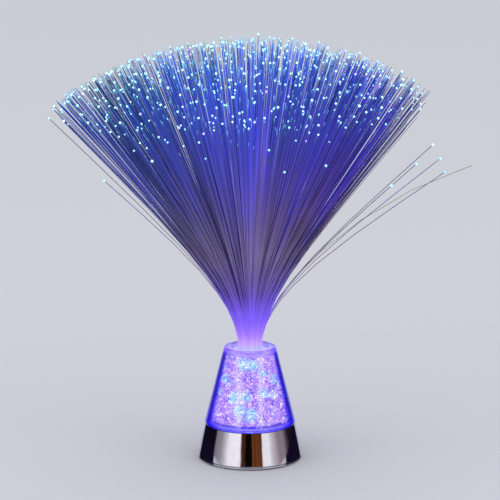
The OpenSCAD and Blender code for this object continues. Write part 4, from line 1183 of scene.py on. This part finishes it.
@dataclass
class Studio:
    """Plain pale floor, soft light and the photograph's camera."""

    eye: tuple[float, float, float] = (0.0, -1.87, 0.575)
    target: tuple[float, float, float] = (0.0, 0.0, 0.1638)
    lens_mm: float = 180.2
    sensor_mm: float = 36.0
    floor_r: float = 60.0
    floor_sides: int = 96
    # below the foot, so that the two don't share a plane
    floor_mm: float = -0.1
    surround: str = "#e9eaee"
    surround_power: float = 1.12
    backdrop: str = "#c6cacf"
    # name, azimuth in degrees as for round_lamp(), width in metres and watts of the soft lights
    softboxes: tuple[tuple[str, float, float, float], ...] = (
        ("softbox_left", -57, 2.3, 6.9), ("softbox_right", 51, 1.45, 4.3))
    softbox_far: float = 1.9
    softbox_height: float = 1.5
    softbox_lift: float = 0.35
    softbox_aim: float = 0.15
    # what the chrome mirrors all round: azimuth and colour of each card's edge
    around: tuple[tuple[float, str], ...] = (
        (-180, "#d0cdd3"), (-152, "#d0cdd3"), (-148, "#0b0812"), (-90, "#100b18"), (-86, "#7a777e"),
        (-72, "#8e8b92"), (-62, "#b6b2b8"), (-50, "#f4eef6"), (-26, "#fbf6fa"), (-21.5, "#f0e8ec"),
        (-20.5, "#4a2c1a"), (-11, "#3a2012"), (-10, "#0a0606"), (4, "#0c0807"), (5, "#6a3c1c"),
        (10, "#6a3c1c"), (11, "#241208"), (12.5, "#6a3c1c"), (27.5, "#5c3018"), (28.5, "#eceaec"),
        (44, "#f0eef0"), (52, "#c8c2c8"), (62, "#a8a0a4"), (70, "#8a7e82"), (84, "#8a7c80"),
        (94, "#4a4046"), (104, "#1c161c"), (148, "#0b0812"), (152, "#d0cdd3"), (180, "#d0cdd3"),
    )
    card_power: float = 1.3
    card_far: float = 2.5
    card_height: float = 1.3
    card_steps: int = 120
    # how far the cards' edges waver to each side, in radians
    waver: float = 0.06
    ceiling: str = "#2a2634"
    mats: tuple[tuple[float, float], ...] = ((-150, -88), (86, 150))
    mat_colour: str = "#160f26"
    mat_inner: float = 0.042
    mat_steps: int = 24
    mat_mm: float = 0.2

    def build(self) -> None:
        """Sets the room, the lamps, the mirrored cards and the camera."""
        scene = bpy.context.scene
        scene.view_settings.view_transform = "Standard"
        self.colour_room(scene)
        self.lay_floor()
        for softbox in self.softboxes:
            self.hang_softbox(*softbox)
        rim = round_lamp(np.linspace(-180, 180, self.card_steps + 1), self.card_far)
        lift = np.array((0, 0, self.card_height / MM))
        self.colour_cards(self.show_to_mirrors("mirrored_cards", rim, rim + lift, self.card_power))
        middle = rim * 0.001
        cover = self.show_to_mirrors("mirrored_ceiling", middle + lift, rim + lift)
        feed(cover, {"Color": self.ceiling})
        for k, ends in enumerate(self.mats):
            self.lay_mat(f"mat_{k}", np.linspace(*ends, self.mat_steps + 1))
        self.aim_camera(scene)

    def colour_room(self, scene: bpy.types.Scene) -> None:
        """Lights the room from all round, behind a backdrop's colour to the eye, to glass and to mirrors.

        Args:
            scene: The scene that gets the room.
        """
        world = bpy.data.worlds.new("pale_room")
        world.use_nodes = True
        tree = world.node_tree
        sky = tree.nodes["Background"]
        feed(sky, {"Color": self.surround, "Strength": self.surround_power})
        seen = add(tree, "Background", {"Color": self.backdrop, "Strength": 1.0})
        rays = add(tree, "LightPath").outputs
        glass = add(tree, "Math", {0: rays["Is Camera Ray"], 1: rays["Is Transmission Ray"]}, operation="MAXIMUM")
        shown = add(tree, "Math", {0: glass, 1: rays["Is Glossy Ray"]}, operation="MAXIMUM")
        both = add(tree, "MixShader", {0: shown, 1: sky, 2: seen})
        feed(tree.nodes["World Output"], {"Surface": both})
        scene.world = world

    def lay_floor(self) -> None:
        """A wide round of paper, far past every view's edge."""
        rim = round_lamp(np.arange(self.floor_sides) * 360 / self.floor_sides, self.floor_r)
        floor = mesh_piece("floor", rim + (0, 0, self.floor_mm), [tuple(range(self.floor_sides))])
        PAPER.dress(floor)

    def hang_softbox(self, name: str, azimuth: float, width: float, power: float) -> None:
        """Hangs a tall soft light that only the lamp sees.

        Args:
            name: Name of the light.
            azimuth: Degrees, as for round_lamp().
            width: Metres across.
            power: Watts.
        """
        lamp = bpy.data.lights.new(name, "AREA")
        lamp.shape, lamp.size, lamp.size_y, lamp.energy = "RECTANGLE", width, self.softbox_height, power
        light = bpy.data.objects.new(name, lamp)
        light.location = round_lamp([azimuth], self.softbox_far)[0] * MM
        light.location.z = self.softbox_height / 2 + self.softbox_lift
        facing = Vector((0, 0, self.softbox_aim)) - Vector(light.location)
        light.rotation_euler = facing.to_track_quat("-Z", "Y").to_euler()
        light.visible_camera = light.visible_glossy = False
        bpy.context.scene.collection.objects.link(light)

    def colour_cards(self, glow: Node) -> None:
        """Paints the ring of cards by azimuth, with a slight waver, so that the chrome has contrast.

        Args:
            glow: The ring's light node.
        """
        tree = glow.id_data
        place = add(tree, "TexCoord").outputs["Object"]
        axes = add(tree, "SeparateXYZ", {"Vector": place}).outputs
        back = add(tree, "Math", {0: axes["Y"], 1: -1.0}, operation="MULTIPLY")
        turn = add(tree, "Math", {0: axes["X"], 1: back}, operation="ARCTAN2")
        waver = add(tree, "TexNoise", {"Vector": place, "Scale": 3.0, "Detail": 2.0})
        sway = add(tree, "MapRange", {"Value": waver, "To Min": -self.waver, "To Max": self.waver})
        bent = add(tree, "Math", {0: turn, 1: sway}, operation="ADD")
        share = add(tree, "MapRange", {"Value": bent, "From Min": -math.pi, "From Max": math.pi})
        bands = add(tree, "ValToRGB", {"Fac": share}, stops=[((a + 180) / 360, hue) for a, hue in self.around])
        feed(glow, {"Color": bands})

    def lay_mat(self, name: str, azimuths: np.ndarray) -> None:
        """Lays a dark mat on the floor beside the lamp where only mirrors see it.

        A cone mirrors twice the turn of its own surface, so the mat's near edge has half of each azimuth.

        Args:
            name: Name of the mat.
            azimuths: Degrees, as for round_lamp().
        """
        lift = np.array((0, 0, self.mat_mm))
        foot = round_lamp(azimuths / 2, self.mat_inner)
        away = round_lamp(azimuths, self.card_far - self.mat_inner)
        mat = self.show_to_mirrors(name, foot + lift, foot + away + lift)
        feed(mat, {"Color": self.mat_colour})

    def show_to_mirrors(self, name: str, near: np.ndarray, far: np.ndarray, power: float = 1.0) -> Node:
        """Makes a self-lit strip between two rows of points, hidden from all but mirrors.

        Args:
            name: Name of the strip and its paint.
            near: Points along its first edge, in millimetres.
            far: Points along its other edge.
            power: What its colour is multiplied by.

        Returns:
            Its paint's light node, still without its colour.
        """
        last = len(near)
        faces = [(i, i + 1, last + i + 1, last + i) for i in range(last - 1)]
        strip = mesh_piece(name, np.concatenate([near, far]), faces)
        for ray in ("camera", "diffuse", "transmission", "shadow", "volume_scatter"):
            setattr(strip, f"visible_{ray}", False)
        paint = bpy.data.materials.new(name)
        paint.use_nodes = True
        strip.data.materials.append(paint)
        glow = add(paint.node_tree, "Emission", {"Strength": power})
        feed(paint.node_tree.nodes["Material Output"], {"Surface": glow})
        return glow

    def aim_camera(self, scene: bpy.types.Scene) -> None:
        """Stands the camera at the photograph's height and distance.

        Args:
            scene: The scene that gets the camera.
        """
        data = bpy.data.cameras.new("photo_camera")
        data.lens, data.sensor_width = self.lens_mm, self.sensor_mm
        data.clip_start, data.clip_end = 0.05, 200.0
        camera = bpy.data.objects.new("photo_camera", data)
        camera.location = self.eye
        camera.rotation_euler = (Vector(self.target) - Vector(self.eye)).to_track_quat("-Z", "Y").to_euler()
        scene.collection.objects.link(camera)
        scene.camera = camera


def write_sizes() -> None:
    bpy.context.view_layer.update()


def main() -> None:
    """Builds the lamp's sub-assemblies and the studio round them."""
    logging.basicConfig(level=logging.INFO, format="%(name)s: %(message)s")
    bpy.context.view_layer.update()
    Studio().build()
    for part in (ChromeBase(), LightBoard(), CrystalCup(), FibreSpray()):
        part.build()
        part.dress()
        part.report()
    write_sizes()


if __name__ == "__main__":
    main()
